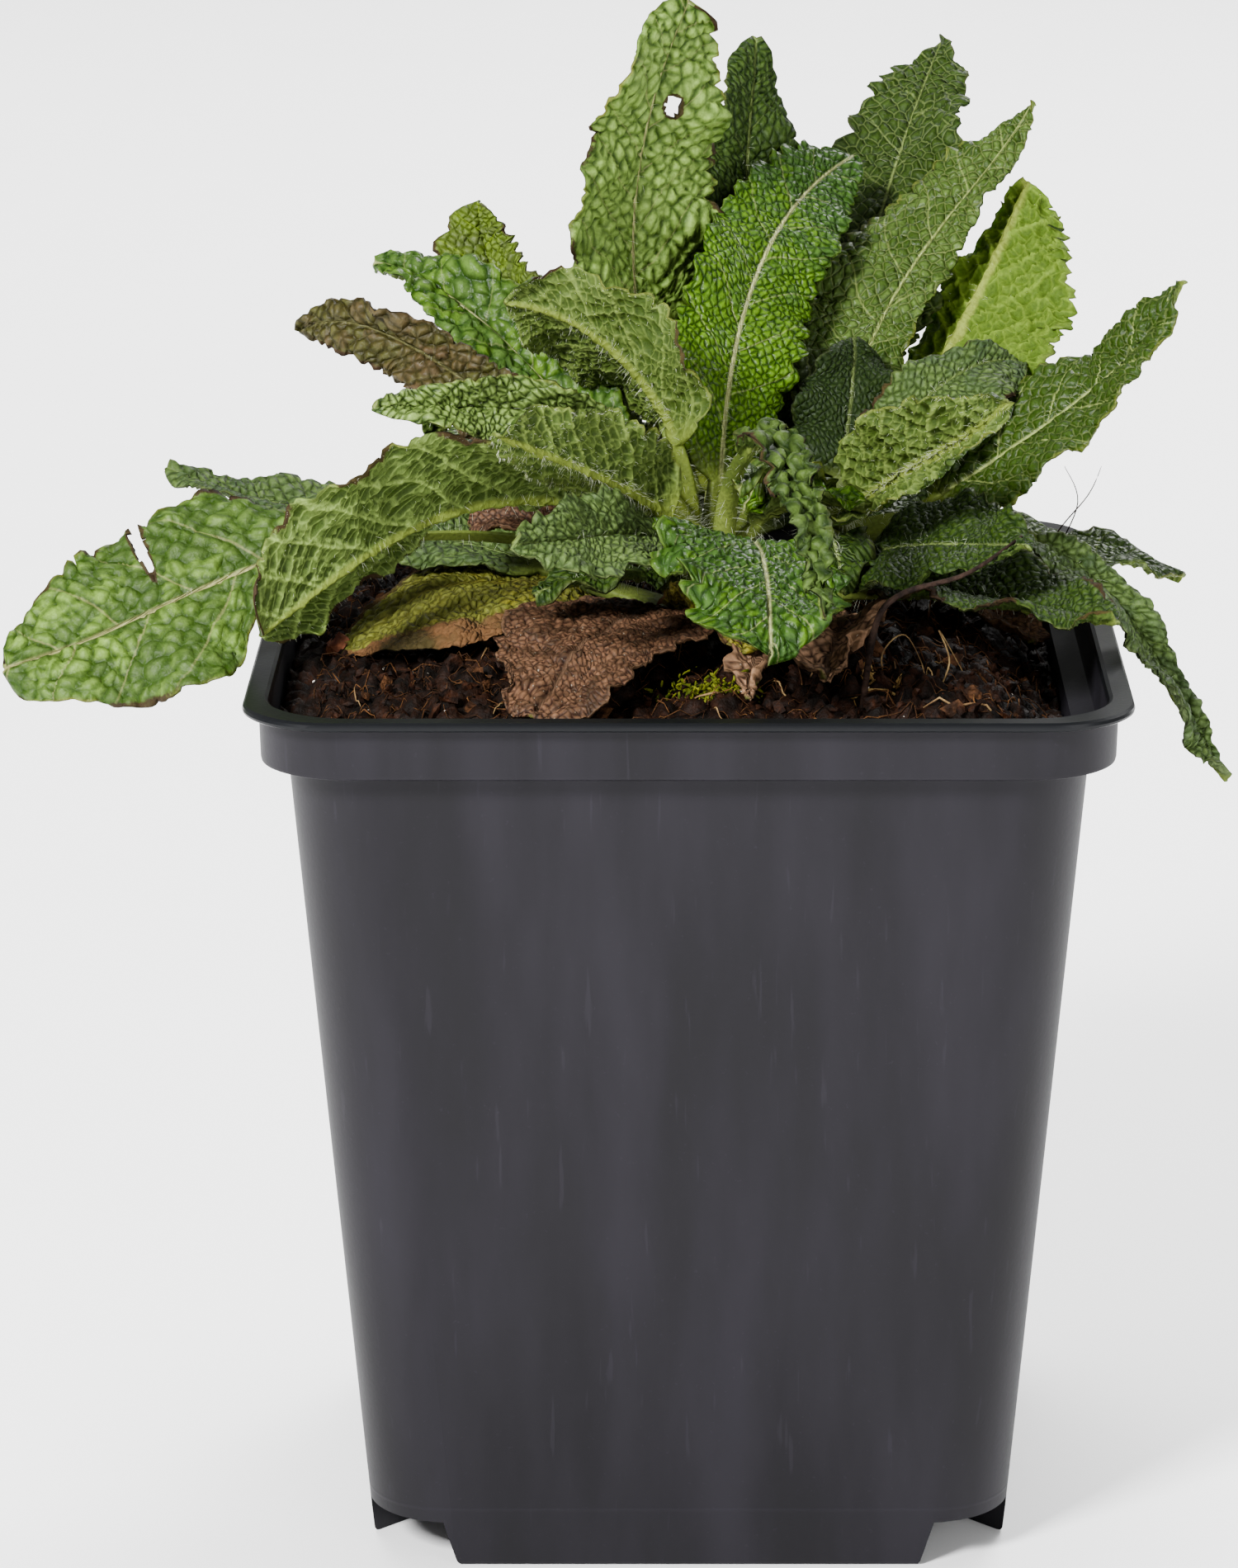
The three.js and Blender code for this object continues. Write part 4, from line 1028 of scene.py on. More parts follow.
LEAVES: tuple[Leaf, ...] = (
    Leaf(
        "dead_leaf_curled", Tone.DEAD_BROWN, Shoot.FRONT, tier=0.3, azimuth=181, swing=-6, rise=50,
        droop=56, hook=13, length=27.6, stalk=0.28, width=12.4, taper=0.4, roll=36, twist=-15, fold=29,
        look=Look(cell=0.9, notch=0.9, crinkle=0.9, sides=(0.95, 1.02), hairs=0),
    ),
    Leaf(
        "leaf_far_left", Tone.GREY, Shoot.FRONT, tier=0.5, azimuth=190, rise=30, droop=77, hook=-36,
        length=77, stalk=0.42, width=24, belly=0.8, taper=0.45, roll=38, twist=2, cup=-0.2, waves=4,
        look=Look(
            cell=2.1, stretch=1.1, puff=0.62, fine=1.25, pebble=0.45, step=0.31, spacing=8.5, lean=0.75,
            tooth=4.2, scorch=0.08, midrib=1.3, shade=0.12, cast=(-0.3, 0.0), bare=(0.6, 0.52),
            cuts=((0.765, 0.74, 0.009, 0.36),),
        ),
    ),
    Leaf(
        "leaf_left_curled", Tone.GREEN, Shoot.FRONT, tier=0.85, azimuth=196, swing=15, rise=39, droop=93,
        hook=-25, length=53.1, stalk=0.24, width=18.6, belly=0.85, taper=0.42, roll=2, twist=-85, fold=17,
        look=Look(
            cell=3.4, stretch=0.4, puff=0.6, fine=2, pebble=0.3, spacing=5.5, tooth=2.6, scorch=0.2,
            shade=-0.4, sides=(1.25, 0.8), bare=(0, 0.55), hairs=160, fuzz=260,
        ),
    ),
    Leaf(
        "leaf_left_behind", Tone.BLUE, Shoot.FRONT, tier=0.25, azimuth=165, swing=-6, rise=16, droop=15,
        hook=-19, length=63, width=14, roll=20, twist=-15,
        look=Look(cell=1.6, step=0.36, spacing=6, tooth=2.6),
    ),
    Leaf(
        "leaf_purple", Tone.PURPLE, Shoot.FRONT, tier=0.68, azimuth=179, swing=-33, rise=44, droop=21,
        hook=52, length=53.6, stalk=0.28, width=8.8, taper=0.4, roll=35, twist=57, fold=15,
        look=Look(
            cell=1.5, puff=0.6, step=0.3, tooth=1.9, crinkle=0.9, scorch=0.25, sides=(1.02, 0.81),
            fuzz=500,
        ),
    ),
    Leaf(
        "leaf_upper_left", Tone.BRIGHT, Shoot.FRONT, tier=0.59, azimuth=149, swing=-7, rise=50, droop=26,
        hook=22, length=53.4, stalk=0.29, width=11.6, roll=60, twist=-35, fold=28,
        look=Look(
            cell=2.0, puff=0.6, fine=1.4, pebble=0.6, step=0.3, spacing=6.5, tooth=2.8, veins=0.15,
            crease=0.3, shade=-0.12, cast=(0.1, 0.1), sides=(0.94, 1.15), fuzz=260,
        ),
    ),
    Leaf(
        "leaf_upper_left_behind", Tone.YELLOW, Shoot.FRONT, tier=0.82, azimuth=129, swing=3, rise=27,
        droop=-15, hook=-45, length=51.6, width=10.1, taper=0.4, roll=54, twist=7, fold=36,
        look=Look(cell=1.2, puff=0.5, step=0.32, tooth=2.2, scorch=0.15, sides=(2.0, 1.5)),
    ),
    Leaf(
        "leaf_hood", Tone.GREEN, Shoot.FRONT, tier=0.93, azimuth=154, swing=31, rise=90, droop=76, hook=8,
        length=35.3, width=16.3, roll=-24, twist=-45, fold=18,
        look=Look(puff=0.4, spacing=5, tooth=2.2, scorch=0.04, sides=(1.06, 1.27), hairs=340, fuzz=500),
    ),
    Leaf(
        "leaf_mid_left", Tone.GREEN, Shoot.FRONT, tier=0.98, azimuth=203, swing=3, rise=64, droop=84,
        hook=-30, length=42.8, stalk=0.26, width=10.5, roll=117, twist=-63, fold=42,
        look=Look(
            tooth=2.4, veins=0.15, shade=-0.62, cast=(-0.4, -0.4), sides=(1.16, 0.87), hairs=280, fuzz=200,
        ),
    ),
    Leaf(
        "leaf_front_left_arched", Tone.GREEN, Shoot.FRONT, tier=1, azimuth=231, swing=-6, rise=33,
        droop=12, hook=-4, length=35.1, stalk=0.21, width=13, roll=-35, twist=-23, fold=36,
        look=Look(
            cell=1.5, step=0.27, spacing=4.4, tooth=2.6, notch=1.2, sides=(1.1, 1.03), hairs=460, fuzz=600,
        ),
    ),
    Leaf(
        "leaf_tall_left", Tone.GREY, Shoot.REAR, tier=0.94, azimuth=160, swing=1, rise=60, droop=-60,
        hook=5, length=56, stalk=0.32, width=19, belly=0.55, taper=0.4, roll=24, twist=6, fold=14,
        cup=-0.05,
        look=Look(
            cell=1.9, stretch=1.0, puff=0.55, fine=1.3, pebble=0.45, step=0.3, spacing=5.5, tooth=3.0,
            notch=1.4, crinkle=0.9, scorch=0.1, veins=0.25, midrib=0.8, shade=-0.4, cast=(0.6, 0.6),
            sides=(1.1, 1.1), cuts=((0.79, 0.3, 0.02, 0.13),),
        ),
    ),
    Leaf(
        "leaf_tall_middle", Tone.DARK, Shoot.REAR, tier=0.62, azimuth=82, swing=-3, rise=67, droop=4,
        hook=-1, length=56, roll=-29, twist=-20, look=Look(cell=1.2, step=0.32, tooth=2.6, veins=0.2),
    ),
    Leaf(
        "leaf_shaded_back", Tone.DARK, Shoot.REAR, tier=0.55, azimuth=117, swing=-8, rise=53, droop=-24,
        hook=-33, length=43, stalk=0.42, width=12, roll=-53, twist=-48, fold=44,
        look=Look(cell=2.2, step=0.36, spacing=6, fuzz=200),
    ),
    Leaf(
        "leaf_centre", Tone.BRIGHT, Shoot.FRONT, tier=1, azimuth=89, swing=-36, rise=65, droop=53, hook=3,
        length=56, stalk=0.1, taper=0.45, roll=-43, twist=-1, fold=10,
        look=Look(
            cell=1.6, stretch=1.0, puff=0.3, fine=1.9, step=0.27, spacing=6, lean=0.8, tooth=2.9,
            notch=1.4, veins=0.22, crease=0.15, midrib=0.9, cast=(-0.6, 0.35), hairs=480,
        ),
    ),
    Leaf(
        "leaf_tall_right", Tone.DARK, Shoot.RIGHT, tier=0.63, azimuth=81, swing=-14, rise=44, droop=6,
        hook=4, length=73, width=18, roll=-12, twist=24,
        look=Look(
            cell=1.8, stretch=1.1, puff=0.5, spacing=7, lean=0.8, tooth=2.9, notch=1.8, veins=0.4, net=0.3,
            cast=(0.2, 0.2),
        ),
    ),
    Leaf(
        "leaf_twisted_right", Tone.GREEN, Shoot.RIGHT, tier=0.83, azimuth=82, swing=-55, rise=52, droop=22,
        hook=-26, length=58.9, stalk=0.17, width=12.1, roll=-25, twist=13, fold=7,
        look=Look(
            cell=1.4, stretch=1.1, puff=0.5, spacing=6.5, tooth=2.8, notch=1.1, veins=0.4, net=0.2,
            midrib=0.6, cast=(0.1, 0.0), sides=(1.36, 0.65), bare=(0, 0.2),
        ),
    ),
    Leaf(
        "leaf_pale_right", Tone.PALE, Shoot.RIGHT, tier=0.45, azimuth=52, swing=4, rise=40, droop=-3,
        hook=-9, length=55.3, stalk=0.21, width=17.1, roll=192, twist=-14, fold=-6, cup=0.1, ruffle=-0.8,
        look=Look(
            cell=1.8, puff=0.65, spacing=6, tooth=1.9, notch=1.3, midrib=1.3, sides=(1.6, 0.61),
            bare=(0, 0.3), hairs=80, fuzz=80,
        ),
    ),
    Leaf(
        "leaf_front_right_curled", Tone.GREEN, Shoot.RIGHT, tier=1, azimuth=297, swing=14, rise=31,
        droop=3, hook=-16, length=34.8, stalk=0.09, roll=118, twist=-24, fold=-44, cup=0.05, ruffle=-0.8,
        look=Look(
            cell=1.5, puff=0.6, step=0.27, tooth=2.2, crinkle=1.0, midrib=1.3, sides=(0.81, 1.05),
            hairs=500, fuzz=420,
        ),
    ),
    Leaf(
        "leaf_right_cupped", Tone.BLUE, Shoot.RIGHT, tier=1, azimuth=20, swing=19, rise=72, droop=73,
        hook=23, length=28.9, stalk=0.18, width=12.2, roll=-34, twist=-3, fold=14,
        look=Look(
            cell=1.4, stretch=1.0, puff=0.34, fine=1.6, step=0.27, tooth=2.0, scorch=0.25, veins=0.15,
            sides=(0.69, 1.3),
        ),
    ),
    Leaf(
        "leaf_spreading_right", Tone.GREEN, Shoot.RIGHT, tier=0.69, azimuth=6, swing=-13, rise=25,
        droop=-22, hook=-22, length=48, stalk=0.25, width=16, roll=-32, twist=15,
        look=Look(
            cell=1.8, stretch=1.1, puff=0.5, pebble=0.6, spacing=6.5, tooth=2.6, notch=1.2, veins=0.6,
            net=0.16, cast=(0.6, 0.6), hairs=300,
        ),
    ),
    Leaf(
        "leaf_hanging_right", Tone.BLUE, Shoot.RIGHT, tier=0.9, azimuth=342, swing=-18, rise=25, droop=114,
        hook=-44, length=54.9, stalk=0.37, width=10.1, roll=-42, twist=43, fold=33, cup=0,
        look=Look(cell=1.4, puff=0.5, tooth=2.8, notch=1.2, crinkle=0.8, midrib=1.2, sides=(0.52, 1.25)),
    ),
    Leaf(
        "leaf_low_right", Tone.DARK, Shoot.RIGHT, tier=0.63, azimuth=307, swing=1, rise=21, droop=15,
        hook=-6, length=34, stalk=0.21, roll=-33, twist=2,
        look=Look(stretch=1.0, puff=0.4, fine=1.7, tooth=2.2, veins=0.1, crease=0.1, cast=(0.2, 0.2)),
    ),
    Leaf(
        "leaf_lying_right", Tone.DARK, Shoot.RIGHT, tier=0.48, azimuth=319, swing=-10, rise=6, droop=4,
        hook=-4, length=43, stalk=0.2, width=14, roll=-8, twist=-6, fold=28,
        look=Look(cell=1.1, puff=0.4, step=0.3, tooth=2.2, scorch=0.45, veins=0.15),
    ),
    Leaf(
        "leaf_crumpled_small", Tone.DARK, Shoot.FRONT, tier=1, azimuth=284, swing=7, rise=79, droop=162,
        hook=-11, stalk=0.33, width=7, roll=1, twist=-9, fold=40,
        look=Look(
            cell=1.7, stretch=1.0, puff=1.1, fine=0.9, step=0.24, tooth=1.8, crinkle=0.9, scorch=0.1,
            veins=0.1, shade=-0.1, cast=(-0.4, -0.4),
        ),
    ),
    Leaf(
        "leaf_fresh_front", Tone.BRIGHT, Shoot.FRONT, tier=0.66, azimuth=285, swing=-15, rise=46, droop=91,
        length=36.2, stalk=0.34, width=19.6, belly=0.75, taper=0.4, roll=13, twist=1, fold=5, ruffle=1.2,
        look=Look(
            fine=1.3, step=0.26, spacing=5, tooth=3.4, notch=2.4, crinkle=1.3, shade=0.08,
            cast=(0.15, 0.15), sides=(0.85, 1.12), hairs=160,
        ),
    ),
    Leaf(
        "leaf_small_front_left", Tone.BLUE, Shoot.FRONT, tier=0.72, azimuth=240, swing=-7, rise=32,
        droop=38, hook=-21, length=37.6, stalk=0.22, width=12.4, roll=30, twist=23, fold=22,
        look=Look(cell=1.2, step=0.26, tooth=2.6, notch=2.0, shade=-0.15, sides=(1.05, 0.8), hairs=90),
    ),
    Leaf(
        "leaf_rear_1", Tone.GREEN, Shoot.REAR, tier=0.38, azimuth=161, swing=-25, rise=31, droop=58,
        hook=15, length=52, stalk=0.19, width=17, roll=-19, twist=42,
    ),
    Leaf(
        "leaf_rear_2", Tone.GREEN, Shoot.REAR, tier=0.23, azimuth=122, swing=-5, rise=32, droop=50, hook=6,
        length=60, stalk=0.37, width=18, roll=-7, twist=29, fold=16,
    ),
    Leaf(
        "leaf_rear_3", Tone.GREEN, Shoot.REAR, tier=0.35, azimuth=90, swing=12, rise=38, droop=49,
        hook=-15, length=54, stalk=0.19, width=20, twist=-12, fold=36, cup=0.1,
    ),
    Leaf(
        "leaf_rear_4", Tone.GREEN, Shoot.RIGHT, tier=0.19, azimuth=66, rise=37, droop=54, length=52,
        stalk=0.22, width=16, roll=-3, twist=-2,
    ),
    Leaf(
        "leaf_rear_5", Tone.GREEN, Shoot.RIGHT, tier=0.29, azimuth=24, rise=17, droop=38, length=46,
        stalk=0.22, width=17, roll=-4, twist=-3,
    ),
    Leaf(
        "leaf_rear_6", Tone.GREEN, Shoot.REAR, tier=0.98, azimuth=107, swing=-13, rise=47, droop=47,
        hook=-18, stalk=0.28, width=13, roll=-5, twist=17, fold=44,
    ),
    Leaf(
        "leaf_small_low", Tone.DARK, Shoot.RIGHT, tier=0.79, azimuth=278, swing=-3, rise=36, droop=82,
        length=16, width=8, twist=-1,
    ),
    Leaf(
        "leaf_left_low", Tone.DARK, Shoot.REAR, tier=0.49, azimuth=152, swing=-24, rise=67, droop=116,
        hook=4, length=49, width=11, roll=16, fold=44,
    ),
    Leaf(
        "leaf_inner_right", Tone.DARK, Shoot.RIGHT, tier=1, azimuth=69, swing=18, rise=68, hook=-2,
        length=20, stalk=0.2, width=12, roll=-10, twist=-5,
        look=Look(cell=1.0, stretch=1.0, puff=0.4, step=0.3, veins=0.1, shade=0.55, cast=(0.9, 0.9)),
    ),
    Leaf(
        "leaf_bud_right", Tone.BRIGHT, Shoot.FRONT, tier=1, azimuth=19, swing=-3, rise=75, droop=54,
        hook=4, length=12, stalk=0.2, width=6,
    ),
)

FALLEN: tuple[FallenLeaf, ...] = (
    FallenLeaf(
        "dead_leaf_flat", Tone.DEAD_BROWN, at=(-2, -4), azimuth=243, swing=6, length=34, width=20,
        arch=2.2, look=Look(cell=0.9, puff=0.42, step=0.26, notch=1.5, crinkle=0.7, hairs=0),
    ),
    FallenLeaf(
        "dead_leaf_yellowing", Tone.DEAD_YELLOW, at=(-10, -1), azimuth=188, length=27, width=22, arch=4,
        curl=-1, tilt=2.6,
        look=Look(cell=1.2, notch=1.2, scorch=1.9, shade=-0.2, cast=(0.15, 0.35), hairs=0),
    ),
    FallenLeaf(
        "dead_leaf_middle", Tone.DEAD_BROWN, at=(8, -11), azimuth=264, length=19, width=5, curl=2,
        look=Look(puff=0.34, step=0.3, notch=1.4, crinkle=1.1, shade=-0.6, hairs=0),
    ),
    FallenLeaf(
        "dead_leaf_front_right", Tone.DEAD_BROWN, at=(17, -4), azimuth=262, length=23, curl=4, crumple=1.2,
        look=Look(puff=0.34, step=0.3, notch=1.6, crinkle=1.3, shade=-0.8, hairs=0),
    ),
    FallenLeaf(
        "dead_leaf_right", Tone.DEAD_BROWN, at=(27, 13), azimuth=305, length=17, curl=2,
    ),
    FallenLeaf(
        "dead_leaf_yellow_scrap", Tone.DEAD_YELLOW, at=(0, -8), azimuth=292, length=15, width=10, bed=2,
        arch=4, look=Look(cell=1.0, step=0.3, scorch=0.2, shade=-0.7, hairs=0),
    ),
    FallenLeaf(
        "dead_leaf_rear", Tone.DEAD_BROWN, at=(12, 14), azimuth=75, length=22, width=11, curl=2,
    ),
)

YOUNG: tuple[Leaf, ...] = (
    Leaf(
        "heart_leaf_1", Tone.DARK, Shoot.REAR, tier=0.8, azimuth=55, rise=62, droop=30, length=32,
        stalk=0.2, width=13, roll=-20, look=Look(puff=0.38, step=0.44, shade=0.5, cast=(0.9, 0.9)),
    ),
    Leaf(
        "heart_leaf_2", Tone.DARK, Shoot.REAR, tier=0.4, azimuth=80, rise=48, droop=30, length=34,
        stalk=0.2, width=16, look=Look(puff=0.38, step=0.44, shade=0.6, cast=(0.9, 0.9)),
    ),
    Leaf(
        "heart_leaf_3", Tone.BRIGHT, Shoot.FRONT, tier=1, azimuth=340, rise=50, droop=70, length=16,
        stalk=0.15, width=7, fold=25,
    ),
    Leaf(
        "heart_leaf_4", Tone.DARK, Shoot.FRONT, tier=0.6, azimuth=215, rise=20, droop=30, length=22,
        stalk=0.2, width=9,
    ),
    Leaf(
        "heart_leaf_5", Tone.GREEN, Shoot.RIGHT, tier=1, azimuth=240, rise=52, droop=60, length=20,
        stalk=0.15, width=9, fold=25,
    ),
    Leaf(
        "heart_leaf_6", Tone.DARK, Shoot.REAR, tier=0.5, azimuth=50, rise=30, droop=30, length=30,
        stalk=0.15, width=17, look=Look(puff=0.38, step=0.44, shade=0.6, cast=(0.9, 0.9)),
    ),
)

FINENESS = 1.28  # widens every leaf's mesh step alike
THICKNESS = 0.17  # half the thickness of a blade
STALK_STEP = 0.9  # between rows on a stalk
SIDE_VEIN = (0.26, 0.28)  # how far a side vein stands proud below, and its half-width
SMALL_VEIN = (0.14, 0.2)  # and a small one
LONG_HAIR = (0.4, 1.4)  # shortest and longest
SHORT_HAIR = (0.2, 0.55)


@dataclass
class Skin:
    """One leaf's finished sheet, with the grids that its hairs grow from."""

    leaf: Leaf | FallenLeaf

    def __post_init__(self) -> None:
        """Shapes the sheet.

        Rows run along the leaf, fine on the blade and coarse on the stalk, and columns across it.
        The middle layer is pushed along its own normals by the blisters. The upper face lies half a
        thickness over it. The lower one lies as far under it, with a midrib, side veins and a net
        of small veins that stand proud.
        """
        leaf, look = self.leaf, self.leaf.look
        step = look.step * FINENESS
        stalk = 0.9 * leaf.stalk if isinstance(leaf, Leaf) else 0
        rows = max(round(stalk * leaf.length / STALK_STEP), 1)
        bottom = np.linspace(0, stalk, rows, endpoint=False)
        top = np.linspace(stalk, 1, round(leaf.length * (1 - stalk) / step) + 1)
        t = np.concatenate([bottom, top]) if stalk else top
        q = np.linspace(-1, 1, 2 * round(leaf.width / step / 2) + 1)[None]
        half, _ = leaf.half(t)
        is_blade = leaf.blade(t)[:, None]
        stem = leaf.stem(t)[:, None]
        middle = leaf.surface(t, q)
        normal = normals_of(middle)
        v = half[:, None] * q * leaf.uneven(t, q)
        s, t = (t * leaf.length)[:, None] + 0 * q, t[:, None] + 0 * q
        edge = np.abs(q) + 0 * t
        lane, puff, side_gap, border, tone, grid = self.net(s, v)
        fade = is_blade * (1 - 0.35 * ease(edge, 0.85, 1)) * ease(1 - t, 0, 0.03)
        groove = ridge(v, 1, 0.5 * look.midrib) * is_blade * (1 - 0.6 * t)
        relief = look.puff * (1.3 * puff * fade + 0.6 * groove)
        thick = 0.34 * stem + (THICKNESS - 0.34 * stem) * is_blade
        thick = thick * np.sqrt(1 - 0.93 * np.minimum(edge, 1) ** 6)
        rib_half = np.maximum((1.15 - 0.45 * is_blade) * stem * (1 - 0.7 * t), 0.24)
        arc = np.sqrt(np.clip(1 - (v / rib_half) ** 2, 0, 1))
        rib = (0.95 - 0.25 * is_blade) * stem * (1 - 0.85 * t) * arc
        ridges = ridge(side_gap, *SIDE_VEIN) * (1 - 0.5 * edge) + ridge(border, *SMALL_VEIN)
        self.upper = middle + normal * (relief + thick)[..., None]
        self.lower = middle + normal * (0.9 * relief - thick - rib - ridges * fade)[..., None]
        self.t, self.edge = t, edge
        keep = np.ones((t.shape[0] - 1, t.shape[1] - 1), bool)
        scorch = self.browning(s, edge, np.sign(q)) * is_blade
        for at, place, half_t, half_q in look.cuts:
            away = np.hypot((t - at) / half_t, (q - place) / half_q) + 0.15 * noise(s, v * 2, 3)
            keep &= (away[1:, 1:] + away[:-1, :-1]) / 2 > 1
            scorch = np.maximum(scorch, 1 - ease(away, 1, 1.5))
        marks = rgba(puff * fade, ease(edge, 0.955, 1) * is_blade, scorch, 0.0)
        flow = rgba(lane, v / look.midrib, t, look.veins * is_blade * (1 - 0.6 * edge**2))
        # The cast, partly painted shade and light, and the painted shading pass to the finish.
        cast = look.cast[0] + (look.cast[1] - look.cast[0]) * t
        tints = rgba(1 - is_blade, look.net * is_blade, tone, cast)
        place = rgba(*grid, look.shade, look.pebble * look.cell / look.fine)
        self.cloth = sheet(self.upper, self.lower, keep, marks, flow, tints, place)

    def net(self, s: Array, v: Array) -> tuple[Array, ...]:
        """The pattern of veins: side veins slant outward, and blisters fill the lanes between.

        The blisters' two directions are along the side veins and square to them.

        Args:
            s: distance along the midrib.
            v: distance from it, with its sign.

        Returns:
            The lane, counted between side veins; the blisters' height from 0 to 1; the distances to
            the nearest side vein and to the nearest small vein; a number for each blister; and the
            place among the fine blisters.
        """
        look, salt = self.leaf.look, self.leaf.salt
        reach = np.abs(v)
        slant = math.hypot(1, look.lean)
        wander = 0.9 * noise(s / 4, v / 4, salt)
        run = s - look.lean * reach - 0.014 * reach**2 + wander
        lane = run / look.spacing + 0.5 * (v > 0) + 0.13 * noise(s / 7, np.sign(v) * 3.3, salt + 1)
        width = look.spacing / slant
        side_gap = np.abs(lane - np.round(lane)) * width
        count = max(round(width / look.cell), 1)
        outward = (reach + look.lean * s + wander) / slant / (look.cell * look.stretch)
        border, tone = cells(lane * count, outward + 50 * (v > 0), salt + 2, 0.72)
        border = border * look.cell
        near_side = side_gap / (0.25 + 0.75 * look.crease)
        nearest = np.minimum(np.minimum(border, near_side), np.maximum(reach - 0.3, 0))
        puff = dome(nearest / (0.42 * look.cell)) * (0.75 + 0.5 * tone)
        grid = lane * count * look.fine, outward * look.fine
        return lane, np.minimum(puff, 1.1), side_gap, border, tone, grid

    def browning(self, s: Array, edge: Array, side: Array) -> Array:
        """Where the margin is brown: patches along it, wider for a leaf with more of it.

        Args:
            s: distance along the midrib.
            edge: how near the margin, from 0 to 1.
            side: -1 or 1.

        Returns:
            How brown each point is, from 0 to 1.
        """
        share = self.leaf.look.scorch
        if not share:
            return np.zeros_like(s)
        patches = 0.5 + 0.7 * noise(s / 3.2, side * 4.1, self.leaf.salt + 8) + 1.2 * (share - 0.3)
        return ease(edge, 0.88 - 0.3 * share, 1) * np.clip(patches, 0, 1)

    def hairs(self) -> list[tuple[Array, Array, Array]]:
        """Roots, directions and lengths of its hairs.

        Long ones stand on the stalk and midrib, and short ones under the blade and on its margin.

        Returns:
            Those three for each kind of hair that it has.
        """
        random = np.random.default_rng(self.leaf.salt)
        found = []
        rows, columns = self.t.shape
        long, short = self.leaf.look.hairs, self.leaf.look.fuzz
        if long:
            share = random.random(long) ** 1.3 * 0.8
            row = np.searchsorted(self.t[:, 0], share).clip(0, rows - 2)
            spread = 0.5 * (1 - self.leaf.blade(self.t[row, 0])) + 0.06
            place = np.clip(0.5 + spread * random.uniform(-1, 1, long), 0, 1)
            column = (place * (columns - 1)).astype(int)
            length = random.uniform(*LONG_HAIR, long) * (1 + 0.6 * (share < 0.15))
            found.append((row, column, random.random(long) < 0.4, length))
        if short:
            row = random.integers(int(rows * 0.25), rows - 2, short)
            column = random.integers(1, columns - 1, short)
            edge = random.random(short) < 0.35
            column[edge] = np.where(random.random(edge.sum()) < 0.5, 1, columns - 2)
            found.append((row, column, np.zeros(short, bool), random.uniform(*SHORT_HAIR, short)))
        result = []
        for row, column, is_above, length in found:
            above = normals_of(self.upper)[row, column]
            below = -normals_of(self.lower)[row, column]
            out = np.where(is_above[:, None], above, below)
            here, there = (
                np.where(is_above[:, None], self.upper[rank, column], self.lower[rank, column])
                for rank in (row, row + 1)
            )
            on = random.random((len(row), 1))
            root = here * on + there * (1 - on)
            sideways = unit(self.upper[row + 1, -1] - self.upper[row + 1, 0])
            share = (column / (columns - 1) * 2 - 1)[:, None]
            lean = unit(out + sideways * share * 1.1 + random.normal(0, 0.3, root.shape))
            result.append((root - out * 0.05, lean, length))
        return result


@dataclass
class Foliage:
    """All the leaves, living and dead, with their hairs."""

    hair_radius: float = 0.016
    hair_sag: float = 0.22  # how far a tip sags, over the hair's length

    def build(self) -> None:
        """Makes each leaf's piece, then the hairs of all of them."""
        finishes = {tone: LEAF_FINISHES[tone].made() for tone in Tone}
        roots: list[tuple[Array, Array, Array]] = []
        for leaf in (*LEAVES, *FALLEN, *YOUNG):
            skin = Skin(leaf)
            nodes = () if leaf in YOUNG else (leaf.name,)
            skin.cloth.piece(f"{leaf.name}_skin", finishes[leaf.tone], leaf.tone.value, *nodes)
            roots += skin.hairs()
        self.grow(roots).piece("leaf_hairs", HairFinish().made(), Tone.PALE.value)

    def grow(self, roots: list[tuple[Array, Array, Array]]) -> Cloth:
        """Hairs as thin tapered tubes of three rings that sag a little at their tips.

        Args:
            roots: each leaf's roots, directions and lengths.

        Returns:
            All the hairs as one piece.
        """
        root, lean, length = (np.concatenate([group[k] for group in roots]) for k in range(3))
        share = np.linspace(0, 1, 3)[None, :, None]
        bend = np.array([0, 0, -self.hair_sag]) * length[:, None, None] * share**2
        paths = root[:, None] + lean[:, None] * share * length[:, None, None] + bend
        radii = self.hair_radius * (1.05 - 0.85 * share[..., 0]) * np.ones((len(root), 1))
        return strands(paths, radii)


@dataclass(frozen=True)
class HairFinish:
    """Fine clear hairs that catch the light."""

    name: str = "leaf_hair"
    colour: Colour = (0.55, 0.6, 0.42)
    bright: Colour = paint(236, 240, 214)

    def made(self) -> bpy.types.Material:
        """Builds the material: pale, a little translucent and of uneven tone.

        Returns:
            The material.
        """
        r = Recipe(self.name)
        tone = r.blend(r.grain(3), self.colour, self.bright)
        return r.done(Base_Color=tone, Roughness=0.35, Subsurface_Weight=0.2)


@dataclass(frozen=True)
class EarthFinish:
    """Moist peat, bark or wood: a dark and a light tone in patches, with a crumbly surface."""

    name: str
    dark: Colour
    light: Colour
    patch: float = 2.5  # size of its patches in millimetres
    crumb: float = 0.5  # and of its crumbs
    depth: float = 0.3  # of those crumbs
    roughness: float = 0.75
    stretch: Spot = (1, 1, 1)
    shine: float = 0.08

    def made(self) -> bpy.types.Material:
        """Builds the material.

        Returns:
            The material.
        """
        r = Recipe(self.name)
        patch = r.grain(self.patch, 4, self.stretch)
        crumb = r.grain(self.crumb, 4, self.stretch)
        colour = r.blend(patch.over(0.35, 0.7), self.dark, self.light)
        colour = r.blend(crumb.over(0.35, 0.65) * 0.6, colour, self.dark)
        gloss = self.roughness - patch.over(0.5, 0.7) * 0.15
        return r.done(
            Base_Color=colour, Roughness=gloss, Specular_IOR_Level=self.shine,
            Normal=r.bump(crumb, self.depth),
        )


